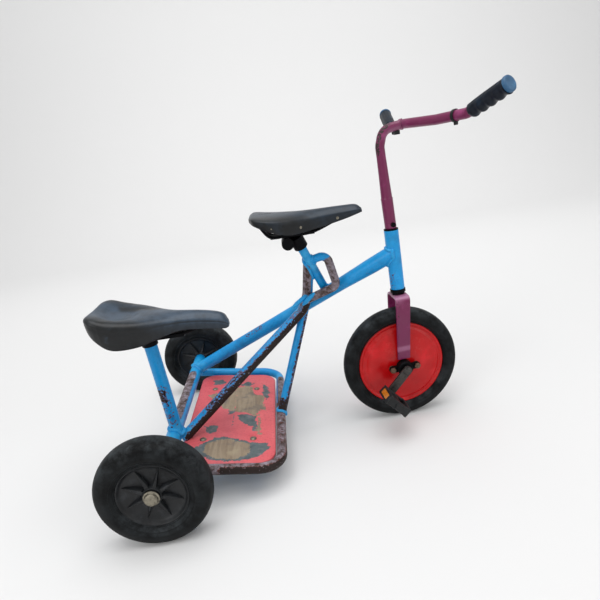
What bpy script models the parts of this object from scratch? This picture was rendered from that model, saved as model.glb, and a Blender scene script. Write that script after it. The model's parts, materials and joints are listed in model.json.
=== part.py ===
"""Two-seat children's tricycle: welded tube frame, footboard, direct-drive front wheel.

Metres, +Z up, +X forwards, +Y to the rider's left. The rear axle lies REAR_AXLE_X behind the
origin, and the wheels stand on z = 0.
"""
import math

import bmesh
import bpy
from mathutils import Matrix, Vector

# ---------------------------------------------------------------- driving dimensions
GAP = 0.0003                     # clearance between touching pieces
REAR_AXLE_X = -0.288             # rear axle, behind the centre of the whole tricycle
REAR_WHEEL_R = 0.100
REAR_TYRE_WIDTH = 0.050
REAR_RIM_R = 0.0615
REAR_TRACK_HALF = 0.2805
FRONT_WHEEL_R = 0.1286
FRONT_TYRE_WIDTH = 0.040
FRONT_DISC_R = 0.0965
WHEELBASE = 0.498
STEER_REST_DEG = 3.4             # the fork stands turned a little to the left
BAR_TWIST_DEG = 8.3              # the handlebar has slipped round on the steerer

HEAD_BOTTOM = Vector((0.5075, 0.0, 0.3003))
HEAD_LEAN_DEG = 1.55
HEAD_TUBE_R = 0.0150
HEAD_BORE_R = 0.0130
HEAD_TUBE_LENGTH = 0.1275
STEERER_R = 0.0100

MAIN_TUBE_R = 0.0143
STAY_R = 0.0115
SEAT_TUBE_R = 0.0095
RISER_R = 0.0098
LOOP_R = 0.0090
RAIL_R = 0.0100
POST_R = 0.0125
AXLE_TUBE_R = 0.0142
AXLE_TUBE_HALF = 0.2615
AXLE_ROD_R = 0.0060
AXLE_BORE_R = 0.0064

PLATFORM_DROP = 0.165            # fall of the footboard for each unit forwards
PLATFORM_REAR_Z = 0.085          # height of its plane above the rear axle line
RAIL_HALF = 0.2090
RAIL_FRONT_X = 0.2140
RAIL_CORNER_R = 0.046
BOARD_THICKNESS = 0.009
BOARD_BOLT_X = (0.0545, 0.1555)
BOARD_BOLT_Y = 0.110

REAR_POST_Y = -0.107
REAR_POST_FOOT = Vector((0.0070, REAR_POST_Y, REAR_WHEEL_R))
REAR_POST_TOP = Vector((-0.0022, REAR_POST_Y, 0.3060))
CRANK_LENGTH = 0.062
CRANK_REST_DEG = 225.0           # right crank: 0 is forwards, 90 is up
PEDAL_TILT_DEG = (-20.0, -50.0)  # left, right
AXLE_R = 0.0060

# ---------------------------------------------------------------- scene and materials
for old in list(bpy.data.objects):
    bpy.data.objects.remove(old, do_unlink=True)

tricycle = bpy.data.collections.new("childrens_tricycle")
cutters = bpy.data.collections.new("cutters")
for group in (tricycle, cutters):
    bpy.context.scene.collection.children.link(group)


def material(name, colour, roughness, metallic=0.0):
    made = bpy.data.materials.new(name)
    made.use_nodes = True
    shader = made.node_tree.nodes["Principled BSDF"]
    shader.inputs["Base Color"].default_value = (*colour, 1.0)
    shader.inputs["Roughness"].default_value = roughness
    shader.inputs["Metallic"].default_value = metallic
    return made


BLUE = dict(colour=(0.010, 0.285, 0.680), roughness=0.35)
MAGENTA = dict(colour=(0.290, 0.036, 0.150), roughness=0.40)
RED = dict(colour=(0.680, 0.006, 0.010), roughness=0.30)
BOARD_RED = dict(colour=(0.820, 0.145, 0.155), roughness=0.60)
TYRE_BLACK = dict(colour=(0.016, 0.017, 0.018), roughness=0.80)
RIM_GREY = dict(colour=(0.030, 0.031, 0.034), roughness=0.60)
GRIP_BLACK = dict(colour=(0.020, 0.032, 0.045), roughness=0.50)
SADDLE_BLACK = dict(colour=(0.020, 0.022, 0.026), roughness=0.40)
STEEL = dict(colour=(0.450, 0.430, 0.390), roughness=0.45, metallic=1.0)
DARK_STEEL = dict(colour=(0.090, 0.085, 0.080), roughness=0.55, metallic=0.8)
AMBER = dict(colour=(0.850, 0.330, 0.010), roughness=0.20)

# ---------------------------------------------------------------- empties: frames and joint axes


def empty(name, matrix, parent=None):
    made = bpy.data.objects.new(name, None)
    tricycle.objects.link(made)
    made.parent = parent
    made.matrix_world = matrix
    bpy.context.view_layer.update()
    return made


def turn(degrees, axis):
    return Matrix.Rotation(math.radians(degrees), 4, axis)


root = empty("tricycle_root", Matrix.Translation((REAR_AXLE_X, 0.0, 0.0)))
ROOT = root.matrix_world.copy()
HEAD = ROOT @ Matrix.Translation(HEAD_BOTTOM) @ turn(-HEAD_LEAN_DEG, "Y")
STEER = HEAD @ turn(STEER_REST_DEG, "Z")
steering_axis = empty("steering_axis", STEER, root)
BAR = STEER @ turn(BAR_TWIST_DEG, "Z")
bar_frame = empty("bar_frame", BAR, steering_axis)
hub_local = HEAD.inverted() @ ROOT @ Vector((WHEELBASE, 0.0, FRONT_WHEEL_R))
FRONT_HUB = STEER @ Matrix.Translation((hub_local.x, 0.0, hub_local.z))
front_hub_axis = empty("front_hub_axis", FRONT_HUB, steering_axis)

# ---------------------------------------------------------------- modelling helpers


def add(name, mesh, finish, frame=ROOT, parent=root, smooth=True):
    """Name a mesh, give it its own material and place it in one of the frames."""
    mesh.name = name
    mesh.materials.clear()
    mesh.materials.append(material(name, **finish))
    if smooth:
        mesh.shade_smooth()
        mesh.set_sharp_from_angle(angle=math.radians(35.0))
    made = bpy.data.objects.new(name, mesh)
    tricycle.objects.link(made)
    made.parent = parent
    made.matrix_world = frame
    bpy.context.view_layer.update()
    return made


def cylinder_mesh(start, end, radius, sides=20, end_radius=None):
    """A closed cylinder or cone between two points."""
    start, end = Vector(start), Vector(end)
    along = end - start
    place = Matrix.Translation((start + end) / 2) @ along.to_track_quat("Z", "Y").to_matrix().to_4x4()
    shape = bmesh.new()
    bmesh.ops.create_cone(shape, cap_ends=True, segments=sides, radius1=radius,
                          radius2=radius if end_radius is None else end_radius,
                          depth=along.length, matrix=place)
    mesh = bpy.data.meshes.new("cylinder")
    shape.to_mesh(mesh)
    shape.free()
    return mesh


def box_mesh(low, high):
    low, high = Vector(low), Vector(high)
    shape = bmesh.new()
    place = Matrix.Translation((low + high) / 2) @ Matrix.Diagonal((*(high - low), 1.0))
    bmesh.ops.create_cube(shape, size=1.0, matrix=place)
    mesh = bpy.data.meshes.new("box")
    shape.to_mesh(mesh)
    shape.free()
    return mesh


def rounded_path(points, radius, steps=5):
    """A polyline whose inner corners are replaced by arcs."""
    points = [Vector(p) for p in points]
    path = [points[0]]
    for before, corner, after in zip(points, points[1:], points[2:]):
        back = (before - corner).normalized()
        ahead = (after - corner).normalized()
        half = back.angle(ahead) / 2
        reach = min(radius / math.tan(half), 0.48 * (before - corner).length,
                    0.48 * (after - corner).length)
        centre = corner + (back + ahead).normalized() * reach / math.cos(half)
        first, last = corner + back * reach - centre, corner + ahead * reach - centre
        sweep = first.angle(last)
        for step in range(steps + 1):
            share = step / steps
            spoke = (math.sin((1 - share) * sweep) * first + math.sin(share * sweep) * last)
            path.append(centre + spoke / math.sin(sweep))
    path.append(points[-1])
    return path


def tube_mesh(path, radius, radii=None, resolution=3):
    """A solid round bar along a path, from a bevelled curve with welded caps."""
    curve = bpy.data.curves.new("tube", "CURVE")
    curve.dimensions = "3D"
    curve.bevel_depth = radius
    curve.bevel_resolution = resolution
    curve.use_fill_caps = True
    spline = curve.splines.new("POLY")
    spline.points.add(len(path) - 1)
    for index, (point, place) in enumerate(zip(spline.points, path)):
        point.co = (*place, 1.0)
        point.radius = radii[index] / radius if radii else 1.0
    guide = bpy.data.objects.new("tube", curve)
    cutters.objects.link(guide)
    bpy.context.view_layer.update()
    mesh = bpy.data.meshes.new_from_object(guide.evaluated_get(bpy.context.evaluated_depsgraph_get()))
    bpy.data.objects.remove(guide, do_unlink=True)
    shape = bmesh.new()
    shape.from_mesh(mesh)
    bmesh.ops.remove_doubles(shape, verts=shape.verts, dist=1e-6)
    bmesh.ops.recalc_face_normals(shape, faces=shape.faces)
    shape.to_mesh(mesh)
    shape.free()
    return mesh


def turned_mesh(profile, sides=48, axis="Y"):
    """A closed (radius, height) outline turned about an axis, outer side first, top to bottom."""
    outline = bpy.data.meshes.new("outline")
    points = [(radius, 0.0, height) for radius, height in profile]
    edges = [(i, (i + 1) % len(points)) for i in range(len(points))]
    outline.from_pydata(points, edges, [])
    guide = bpy.data.objects.new("outline", outline)
    cutters.objects.link(guide)
    screw = guide.modifiers.new("turn", "SCREW")
    screw.steps = screw.render_steps = sides
    screw.use_merge_vertices = True
    screw.merge_threshold = 1e-5
    bpy.context.view_layer.update()
    mesh = bpy.data.meshes.new_from_object(guide.evaluated_get(bpy.context.evaluated_depsgraph_get()))
    bpy.data.objects.remove(guide, do_unlink=True)
    shape = bmesh.new()
    shape.from_mesh(mesh)
    bmesh.ops.remove_doubles(shape, verts=shape.verts, dist=1e-6)
    bmesh.ops.recalc_face_normals(shape, faces=shape.faces)
    if axis == "Y":
        bmesh.ops.transform(shape, matrix=turn(-90.0, "X"), verts=shape.verts)
    shape.to_mesh(mesh)
    shape.free()
    return mesh


def loft_mesh(rings):
    """A closed skin over rings of equal point counts, with capped ends."""
    shape = bmesh.new()
    loops = [[shape.verts.new(point) for point in ring] for ring in rings]
    count = len(loops[0])
    for first, second in zip(loops, loops[1:]):
        for i in range(count):
            j = (i + 1) % count
            shape.faces.new((first[i], first[j], second[j], second[i]))
    shape.faces.new(list(reversed(loops[0])))
    shape.faces.new(loops[-1])
    bmesh.ops.recalc_face_normals(shape, faces=shape.faces)
    mesh = bpy.data.meshes.new("loft")
    shape.to_mesh(mesh)
    shape.free()
    return mesh


def sheet_mesh(outline, thickness, frame=Matrix.Identity(4)):
    """A flat plate: a 2D curve outline in its own XY plane, extruded about z = 0."""
    curve = bpy.data.curves.new("sheet", "CURVE")
    curve.dimensions = "2D"
    curve.fill_mode = "BOTH"
    curve.extrude = thickness / 2
    spline = curve.splines.new("POLY")
    spline.points.add(len(outline) - 1)
    for point, place in zip(spline.points, outline):
        point.co = (place[0], place[1], 0.0, 1.0)
    spline.use_cyclic_u = True
    guide = bpy.data.objects.new("sheet", curve)
    cutters.objects.link(guide)
    bpy.context.view_layer.update()
    mesh = bpy.data.meshes.new_from_object(guide.evaluated_get(bpy.context.evaluated_depsgraph_get()))
    bpy.data.objects.remove(guide, do_unlink=True)
    shape = bmesh.new()
    shape.from_mesh(mesh)
    bmesh.ops.remove_doubles(shape, verts=shape.verts, dist=1e-6)
    bmesh.ops.recalc_face_normals(shape, faces=shape.faces)
    bmesh.ops.transform(shape, matrix=frame, verts=shape.verts)
    shape.to_mesh(mesh)
    shape.free()
    return mesh


def cut(target, mesh, frame=ROOT, operation="DIFFERENCE"):
    """Boolean one mesh out of a part, or into it; the cutter stays hidden in its collection."""
    tool = bpy.data.objects.new(f"{target.name}_cutter", mesh)
    cutters.objects.link(tool)
    tool.matrix_world = frame
    tool.hide_render = True
    tool.display_type = "WIRE"
    boolean = target.modifiers.new("cut", "BOOLEAN")
    boolean.operation = operation
    boolean.solver = "EXACT"
    boolean.object = tool


def rounded_rectangle(left, right, low, high, radius, steps=6):
    corners = ((right, high, 0), (left, high, 90), (left, low, 180), (right, low, 270))
    outline = []
    for x, y, start in corners:
        centre = (x - math.copysign(radius, x - (left + right) / 2),
                  y - math.copysign(radius, y - (low + high) / 2))
        for step in range(steps + 1):
            angle = math.radians(start + 90.0 * step / steps)
            outline.append((centre[0] + radius * math.cos(angle), centre[1] + radius * math.sin(angle)))
    return outline


# ---------------------------------------------------------------- where the tubes run
AXLE_Z = REAR_WHEEL_R
MAIN_START = Vector((0.5060, 0.0, 0.3792))
MAIN_END = Vector((0.0, 0.195, AXLE_Z))
STAY_BEND = Vector((0.3020, 0.0530, 0.2690))
STAY_FOOT = Vector((0.0160, -0.1055, 0.0842))
SEAT_FOOT = Vector((0.3590, 0.0520, 0.3000))
SEAT_TOP = Vector((0.3060, -0.0045, 0.4420))
STAY_HEAD = Vector((0.3262, 0.0215, 0.3850))
LOOP_LOW = Vector((0.3800, 0.0170, 0.3215))
LOOP_HIGH = Vector((0.3650, 0.0130, 0.3945))
LOOP_START = Vector((0.3140, 0.0400, 0.2935))
LOOP_END = Vector((0.3270, 0.0190, 0.3840))
RISER_FOOT = Vector((0.2150, -0.0110, 0.0500))
RISER_HEAD = Vector((0.3050, 0.0600, 0.2700))


def platform_z(x):
    return PLATFORM_REAR_Z - PLATFORM_DROP * x


def rail_route():
    rear_x = 0.004
    corners = [(rear_x, RAIL_HALF), (RAIL_FRONT_X, RAIL_HALF), (RAIL_FRONT_X, -RAIL_HALF),
               (rear_x, -RAIL_HALF)]
    return rounded_path([(x, y, platform_z(x)) for x, y in corners], RAIL_CORNER_R, 8)


MAIN_ROUTE = [MAIN_START, MAIN_START.lerp(MAIN_END, 0.10), MAIN_START.lerp(MAIN_END, 0.22), MAIN_END]
MAIN_RADII = [0.0175, 0.0168, MAIN_TUBE_R, MAIN_TUBE_R]
STAY_KNEE = Vector((0.3150, 0.0490, 0.3050))
STAY_ROUTE = rounded_path([STAY_FOOT, STAY_BEND, STAY_KNEE, STAY_HEAD], 0.030, 3)
LOOP_ROUTE = rounded_path([LOOP_START, LOOP_LOW, LOOP_HIGH, LOOP_END], 0.014, 6)
RAIL_ROUTE = rail_route()
AXLE_ENDS = (Vector((0, -AXLE_TUBE_HALF, AXLE_Z)), Vector((0, AXLE_TUBE_HALF, AXLE_Z)))


def axle_cutter():
    return cylinder_mesh(*AXLE_ENDS, AXLE_TUBE_R + GAP, 24)


def main_cutter():
    return tube_mesh(MAIN_ROUTE, MAIN_TUBE_R + GAP, [r + GAP for r in MAIN_RADII], 4)


def stay_cutter():
    return tube_mesh(STAY_ROUTE, STAY_R + GAP, resolution=3)


def seat_cutter():
    return cylinder_mesh(SEAT_FOOT, SEAT_TOP, SEAT_TUBE_R + GAP)


def rail_cutter():
    return tube_mesh(RAIL_ROUTE, RAIL_R + GAP, resolution=3)


def head_cutter():
    return cylinder_mesh((0, 0, -0.01), (0, 0, HEAD_TUBE_LENGTH + 0.01), HEAD_TUBE_R + GAP, 32)


# ---------------------------------------------------------------- welded frame
add("head_tube", turned_mesh([(HEAD_TUBE_R, HEAD_TUBE_LENGTH), (HEAD_TUBE_R, 0.0),
                              (HEAD_BORE_R, 0.0), (HEAD_BORE_R, HEAD_TUBE_LENGTH)], 32, "Z"),
    BLUE, HEAD)

rear_axle_tube = add("rear_axle_tube", turned_mesh(
    [(AXLE_TUBE_R, AXLE_TUBE_HALF), (AXLE_TUBE_R, -AXLE_TUBE_HALF),
     (AXLE_BORE_R, -AXLE_TUBE_HALF), (AXLE_BORE_R, AXLE_TUBE_HALF)], 24),
    BLUE, ROOT @ Matrix.Translation((0, 0, AXLE_Z)))

main_tube = add("main_tube", tube_mesh(MAIN_ROUTE, MAIN_TUBE_R, MAIN_RADII, 4), BLUE)
cut(main_tube, head_cutter(), HEAD)
cut(main_tube, axle_cutter())

right_stay = add("right_stay", tube_mesh(STAY_ROUTE, STAY_R), BLUE)
cut(right_stay, axle_cutter())
cut(right_stay, main_cutter())
cut(right_stay, seat_cutter())

seat_tube = add("seat_tube", cylinder_mesh(SEAT_FOOT, SEAT_TOP, SEAT_TUBE_R), BLUE)
cut(seat_tube, main_cutter())

hand_loop = add("hand_loop", tube_mesh(LOOP_ROUTE, LOOP_R), BLUE)
for cutter in (stay_cutter, seat_cutter, main_cutter):
    cut(hand_loop, cutter())

riser_tube = add("riser_tube", cylinder_mesh(RISER_FOOT, RISER_HEAD, RISER_R), BLUE)
for cutter in (rail_cutter, main_cutter, stay_cutter):
    cut(riser_tube, cutter())

platform_rail = add("platform_rail", tube_mesh(RAIL_ROUTE, RAIL_R), BLUE)
cut(platform_rail, axle_cutter())

rear_seat_post = add("rear_seat_post", cylinder_mesh(REAR_POST_FOOT, REAR_POST_TOP, POST_R), BLUE)
cut(rear_seat_post, axle_cutter())
cut(rear_seat_post, stay_cutter())

# ---------------------------------------------------------------- footboard
TILT = math.degrees(math.atan(PLATFORM_DROP))
PLATFORM = ROOT @ Matrix.Translation((0, 0, PLATFORM_REAR_Z)) @ turn(TILT, "Y")
ALONG = 1.0 / math.cos(math.radians(TILT))
board_outline = rounded_rectangle(0.0175 * ALONG, 0.2015 * ALONG, -0.1910, 0.1910, 0.036)
platform_board = add("platform_board", sheet_mesh(
    board_outline, BOARD_THICKNESS, Matrix.Translation((0, 0, -BOARD_THICKNESS / 2))),
    BOARD_RED, PLATFORM)
cut(platform_board, stay_cutter())
STRAP_TOP = -BOARD_THICKNESS - GAP
STRAP_THICKNESS = 0.003
STRAP_HALF_WIDTH = 0.0125
for place, x in zip(("rear", "front"), BOARD_BOLT_X):
    strap = add(f"{place}_board_strap", box_mesh(
        (x * ALONG - STRAP_HALF_WIDTH, -RAIL_HALF, STRAP_TOP - STRAP_THICKNESS),
        (x * ALONG + STRAP_HALF_WIDTH, RAIL_HALF, STRAP_TOP)), BLUE, PLATFORM, smooth=False)
    cut(strap, rail_cutter())
    for side, y in (("left", BOARD_BOLT_Y), ("right", -BOARD_BOLT_Y)):
        centre = Matrix.Translation((x * ALONG, y, 0))
        hole = cylinder_mesh((0, 0, -0.03), (0, 0, 0.01), 0.0030 + GAP, 12)
        hole.transform(centre)
        cut(platform_board, hole, PLATFORM)
        cut(strap, hole.copy(), PLATFORM)
        nut_top = STRAP_TOP - STRAP_THICKNESS - GAP
        bolt = turned_mesh([(0.0001, 0.0030), (0.0035, 0.0026), (0.0062, 0.0012), (0.0068, GAP),
                            (0.0030, GAP), (0.0030, nut_top), (0.0056, nut_top),
                            (0.0056, nut_top - 0.005), (0.0001, nut_top - 0.005)], 12, "Z")
        add(f"{place}_{side}_board_bolt", bolt, STEEL, PLATFORM @ centre)

# ---------------------------------------------------------------- rear axle and wheels
add("rear_axle_rod", cylinder_mesh((0, -0.3040, AXLE_Z), (0, 0.3040, AXLE_Z), AXLE_ROD_R, 20), STEEL)

HALF = REAR_TYRE_WIDTH / 2
TYRE_SIDES = 40
TREAD_R = REAR_WHEEL_R / math.cos(math.pi / TYRE_SIDES)      # so that a facet rests on the floor
TYRE_PROFILE = [(0.0800, HALF - 0.0004), (0.0905, 0.0205), (0.0970, 0.0130), (TREAD_R, 0.0045),
                (TREAD_R, -0.0045), (0.0970, -0.0130), (0.0905, -0.0205), (0.0800, -HALF + 0.0004),
                (0.0700, -0.0235), (REAR_RIM_R, -0.0160), (REAR_RIM_R, 0.0160), (0.0700, 0.0235)]
RIM_PROFILE = [(REAR_RIM_R - GAP, 0.0165), (REAR_RIM_R - GAP, -0.0165), (0.0585, -0.0165),
               (0.0560, -0.0030), (0.0180, -0.0055), (0.0165, -0.0185), (AXLE_BORE_R, -0.0185),
               (AXLE_BORE_R, 0.0185), (0.0165, 0.0185), (0.0180, 0.0055), (0.0560, 0.0030),
               (0.0585, 0.0165)]
WASHER_PROFILE = [(0.0125, 0.0205), (0.0125, 0.0188), (AXLE_BORE_R, 0.0188), (AXLE_BORE_R, 0.0205)]
CAP_PROFILE = [(0.0001, 0.0305), (0.0070, 0.0300), (0.0120, 0.0285), (0.0138, 0.0255),
               (0.0142, 0.0208), (AXLE_BORE_R, 0.0208), (AXLE_BORE_R, 0.0240), (0.0001, 0.0240)]
REAR_PIECES = (("tyre", TYRE_PROFILE, TYRE_BLACK, TYRE_SIDES), ("rim", RIM_PROFILE, RIM_GREY, 32),
               ("washer", WASHER_PROFILE, STEEL, 16), ("axle_cap", CAP_PROFILE, STEEL, 20))
for side, sign in (("left", 1), ("right", -1)):
    hub = ROOT @ Matrix.Translation((0, sign * REAR_TRACK_HALF, AXLE_Z))
    if sign < 0:
        hub = hub @ turn(180.0, "Z")
    axis = empty(f"{side}_wheel_axis", hub, root)
    for piece, profile, finish, sides in REAR_PIECES:
        fixed = piece in ("axle_cap", "washer")
        mesh = turned_mesh(profile, sides)
        mesh.transform(turn(180.0 / sides, "Y"))
        add(f"{side}_{piece}", mesh, finish, hub, root if fixed else axis)

# ---------------------------------------------------------------- steering: bearings, fork, bar
add("upper_head_bearing", turned_mesh(
    [(0.0150, HEAD_TUBE_LENGTH + 0.0028), (0.0150, HEAD_TUBE_LENGTH + GAP),
     (HEAD_BORE_R - GAP, HEAD_TUBE_LENGTH + GAP), (HEAD_BORE_R - GAP, HEAD_TUBE_LENGTH - 0.015),
     (STEERER_R + GAP, HEAD_TUBE_LENGTH - 0.015), (STEERER_R + GAP, HEAD_TUBE_LENGTH + 0.0028)],
    20, "Z"), DARK_STEEL, HEAD)
add("lower_head_bearing", turned_mesh(
    [(HEAD_BORE_R - GAP, 0.015), (HEAD_BORE_R - GAP, -GAP), (0.0165, -GAP), (0.0165, -0.0070),
     (0.0135, -0.0080), (0.0135, -0.0160), (STEERER_R + GAP, -0.0160), (STEERER_R + GAP, 0.015)],
    20, "Z"), DARK_STEEL, HEAD)

CROWN_TOP = -0.0165
STRIP = 0.0050
FORK_HALF = 0.0330
LEG_END = -0.1520
LEG_RAKE = 0.0890                # the legs lean back from the steering axis


def fork_mesh():
    """A flat strip bent into an arch over the wheel, narrower towards its feet."""
    outer = rounded_path([(-FORK_HALF, LEG_END, 0), (-FORK_HALF, CROWN_TOP, 0),
                          (FORK_HALF, CROWN_TOP, 0), (FORK_HALF, LEG_END, 0)], 0.012, 6)
    inner = rounded_path([(-FORK_HALF + STRIP, LEG_END, 0), (-FORK_HALF + STRIP, CROWN_TOP - STRIP, 0),
                          (FORK_HALF - STRIP, CROWN_TOP - STRIP, 0), (FORK_HALF - STRIP, LEG_END, 0)],
                         0.007, 6)
    upright = Matrix(((0, 0, 1, 0), (1, 0, 0, 0), (0, 1, 0, 0), (0, 0, 0, 1)))
    mesh = sheet_mesh([*outer, *reversed(inner)], 0.032, upright)
    for vertex in mesh.vertices:
        below = max(0.0, CROWN_TOP - vertex.co.z)
        vertex.co.x = vertex.co.x * (1.0 - 0.9 * below) - LEG_RAKE * below
    return mesh


fork = add("fork", fork_mesh(), MAGENTA, STEER, steering_axis)
cut(fork, cylinder_mesh((0, 0, -0.03), (0, 0, 0.0), STEERER_R + GAP, 20), STEER)
add("steerer", cylinder_mesh((0, 0, -0.0230), (0, 0, HEAD_TUBE_LENGTH + 0.040), STEERER_R, 20),
    DARK_STEEL, STEER, steering_axis)

STEM_FOOT = HEAD_TUBE_LENGTH + 0.0040
TEE = Vector((0.0483, 0.0, 0.3289))
BAR_R = 0.0092
STEM_R = 0.0120
stem_route = rounded_path([(0, 0, STEM_FOOT), (-0.0016, 0, 0.1920), (-0.0038, 0, 0.2950),
                           (0.0060, 0, 0.3240), TEE], 0.024, 7)
handlebar = add("handlebar", tube_mesh(stem_route, BAR_R, [STEM_R] * 2 + [BAR_R] * (len(stem_route) - 2), 4),
                MAGENTA, BAR, bar_frame)
GRIP_START = Vector((0.0956, 0.1514, 0.3271))
BAR_TIP = Vector((0.1195, 0.2270, 0.3573))


def across(point, sign):
    return Vector((point.x, sign * point.y, point.z))


arm_points = [across(BAR_TIP, 1), across(GRIP_START, 1), (0.0746, 0.0842, 0.3256),
              TEE + Vector((0.0010, 0, 0)), (0.0746, -0.0842, 0.3256), across(GRIP_START, -1),
              across(BAR_TIP, -1)]
cut(handlebar, tube_mesh(rounded_path(arm_points, 0.030, 3), BAR_R, resolution=3), BAR, "UNION")
cut(handlebar, cylinder_mesh((0, 0, 0.10), (0, 0, HEAD_TUBE_LENGTH + 0.041), STEERER_R + GAP, 20), BAR)
BOLT_Z = HEAD_TUBE_LENGTH + 0.012
bolt_hole = cylinder_mesh((0, -0.03, BOLT_Z), (0, 0.03, BOLT_Z), 0.0030 + GAP, 12)
cut(handlebar, bolt_hole, BAR)
cut(bpy.data.objects["steerer"], bolt_hole.copy(), BAR)
stem_bolt = add("stem_bolt", turned_mesh(
    [(0.0050, 0.0165), (0.0050, 0.0124), (0.0030, 0.0124), (0.0030, -0.0124), (0.0050, -0.0124),
     (0.0050, -0.0165), (0.0001, -0.0165), (0.0001, 0.0165)], 12),
    DARK_STEEL, BAR @ Matrix.Translation((0, 0, BOLT_Z)), bar_frame)

GRIP_R = 0.0128
for side, sign in (("left", 1), ("right", -1)):
    start, end = across(GRIP_START, sign), across(BAR_TIP, sign)
    along = (end - start).normalized()
    grip = add(f"{side}_grip", tube_mesh(
        [start + along * 0.006, start + along * 0.012, end - along * 0.006, end + along * 0.001,
         end + along * 0.006], GRIP_R, [0.0118, GRIP_R, 0.0132, 0.0148, 0.0142], 3),
        GRIP_BLACK, BAR, bar_frame)
    cut(grip, cylinder_mesh(start - along * 0.02, end + along * GAP, BAR_R + GAP, 16), BAR)
    arm_dir = (start - Vector((0.0746, sign * 0.0842, 0.3256))).normalized()
    ring_at = start - arm_dir * 0.026
    face = Matrix.Translation(ring_at) @ arm_dir.to_track_quat("Z", "Y").to_matrix().to_4x4()
    ring = add(f"{side}_clip_ring", turned_mesh(
        [(0.0114, 0.0030), (0.0114, -0.0030), (BAR_R + GAP, -0.0030), (BAR_R + GAP, 0.0030)], 16, "Z"),
        DARK_STEEL, BAR @ face, bar_frame)

# ---------------------------------------------------------------- front wheel and its drive
FH = FRONT_TYRE_WIDTH / 2
R = FRONT_WHEEL_R
front_tyre = add("front_tyre", turned_mesh(
    [(R - 0.0130, FH), (R - 0.0050, 0.0165), (R, 0.0060), (R, -0.0060), (R - 0.0050, -0.0165),
     (R - 0.0130, -FH), (FRONT_DISC_R, -0.0130), (FRONT_DISC_R, 0.0130)], 44),
    TYRE_BLACK, FRONT_HUB, front_hub_axis)
DISC_PROFILE = [(FRONT_DISC_R - GAP, 0.0124), (FRONT_DISC_R - GAP, GAP / 2), (0.0880, GAP / 2),
                (0.0860, 0.0080), (0.0400, 0.0180), (AXLE_R + GAP, 0.0225), (AXLE_R + GAP, 0.0248),
                (0.0405, 0.0200), (0.0880, 0.0104)]
for side, sign in (("left", 1), ("right", -1)):
    face = FRONT_HUB if sign > 0 else FRONT_HUB @ turn(180.0, "Z")
    add(f"{side}_wheel_disc", turned_mesh(DISC_PROFILE, 36), RED, face, front_hub_axis)

AXLE_END = 0.0585
add("crank_axle", cylinder_mesh((0, -AXLE_END, 0), (0, AXLE_END, 0), AXLE_R, 20), DARK_STEEL,
    FRONT_HUB, front_hub_axis)

BEARING_IN, BEARING_OUT = 0.0282, 0.0460
EAR = 0.0275
for side, sign in (("left", 1), ("right", -1)):
    face = FRONT_HUB if sign > 0 else FRONT_HUB @ turn(180.0, "Z")
    housing = add(f"{side}_axle_bearing", turned_mesh(
        [(0.0150, BEARING_OUT), (0.0172, BEARING_OUT - 0.003), (0.0172, BEARING_IN),
         (0.0001, BEARING_IN), (0.0001, BEARING_OUT)], 20), RIM_GREY, face, steering_axis)
    ears = sheet_mesh(rounded_rectangle(-EAR - 0.007, EAR + 0.007, -0.0070, 0.0070, 0.0065, 3), 0.0060,
                      Matrix.Translation((0, 0.0365, 0.001)) @ turn(90.0, "X"))
    cut(housing, ears, face, "UNION")
    cut(housing, cylinder_mesh((0, 0, 0), (0, 0.06, 0), AXLE_R + GAP, 20), face)
    bolt_profile = [(0.0048, 0.0445), (0.0058, 0.0430), (0.0058, 0.0398), (0.0027, 0.0398),
                    (0.0027, 0.0332), (0.0052, 0.0332), (0.0052, 0.0290), (0.0001, 0.0290),
                    (0.0001, 0.0445)]
    for place, x in (("front", EAR), ("rear", -EAR)):
        if sign < 0:
            x = -x
        at = Matrix.Translation((x, 0, 0.001))
        cut(housing, cylinder_mesh((x, 0.02, 0.001), (x, 0.06, 0.001), 0.0030, 12), face)
        add(f"{side}_{place}_bearing_bolt", turned_mesh(bolt_profile, 12), STEEL, face @ at,
            steering_axis)
cut(fork, cylinder_mesh((0, -0.05, 0), (0, 0.05, 0), 0.0172 + GAP, 20), FRONT_HUB)

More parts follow.
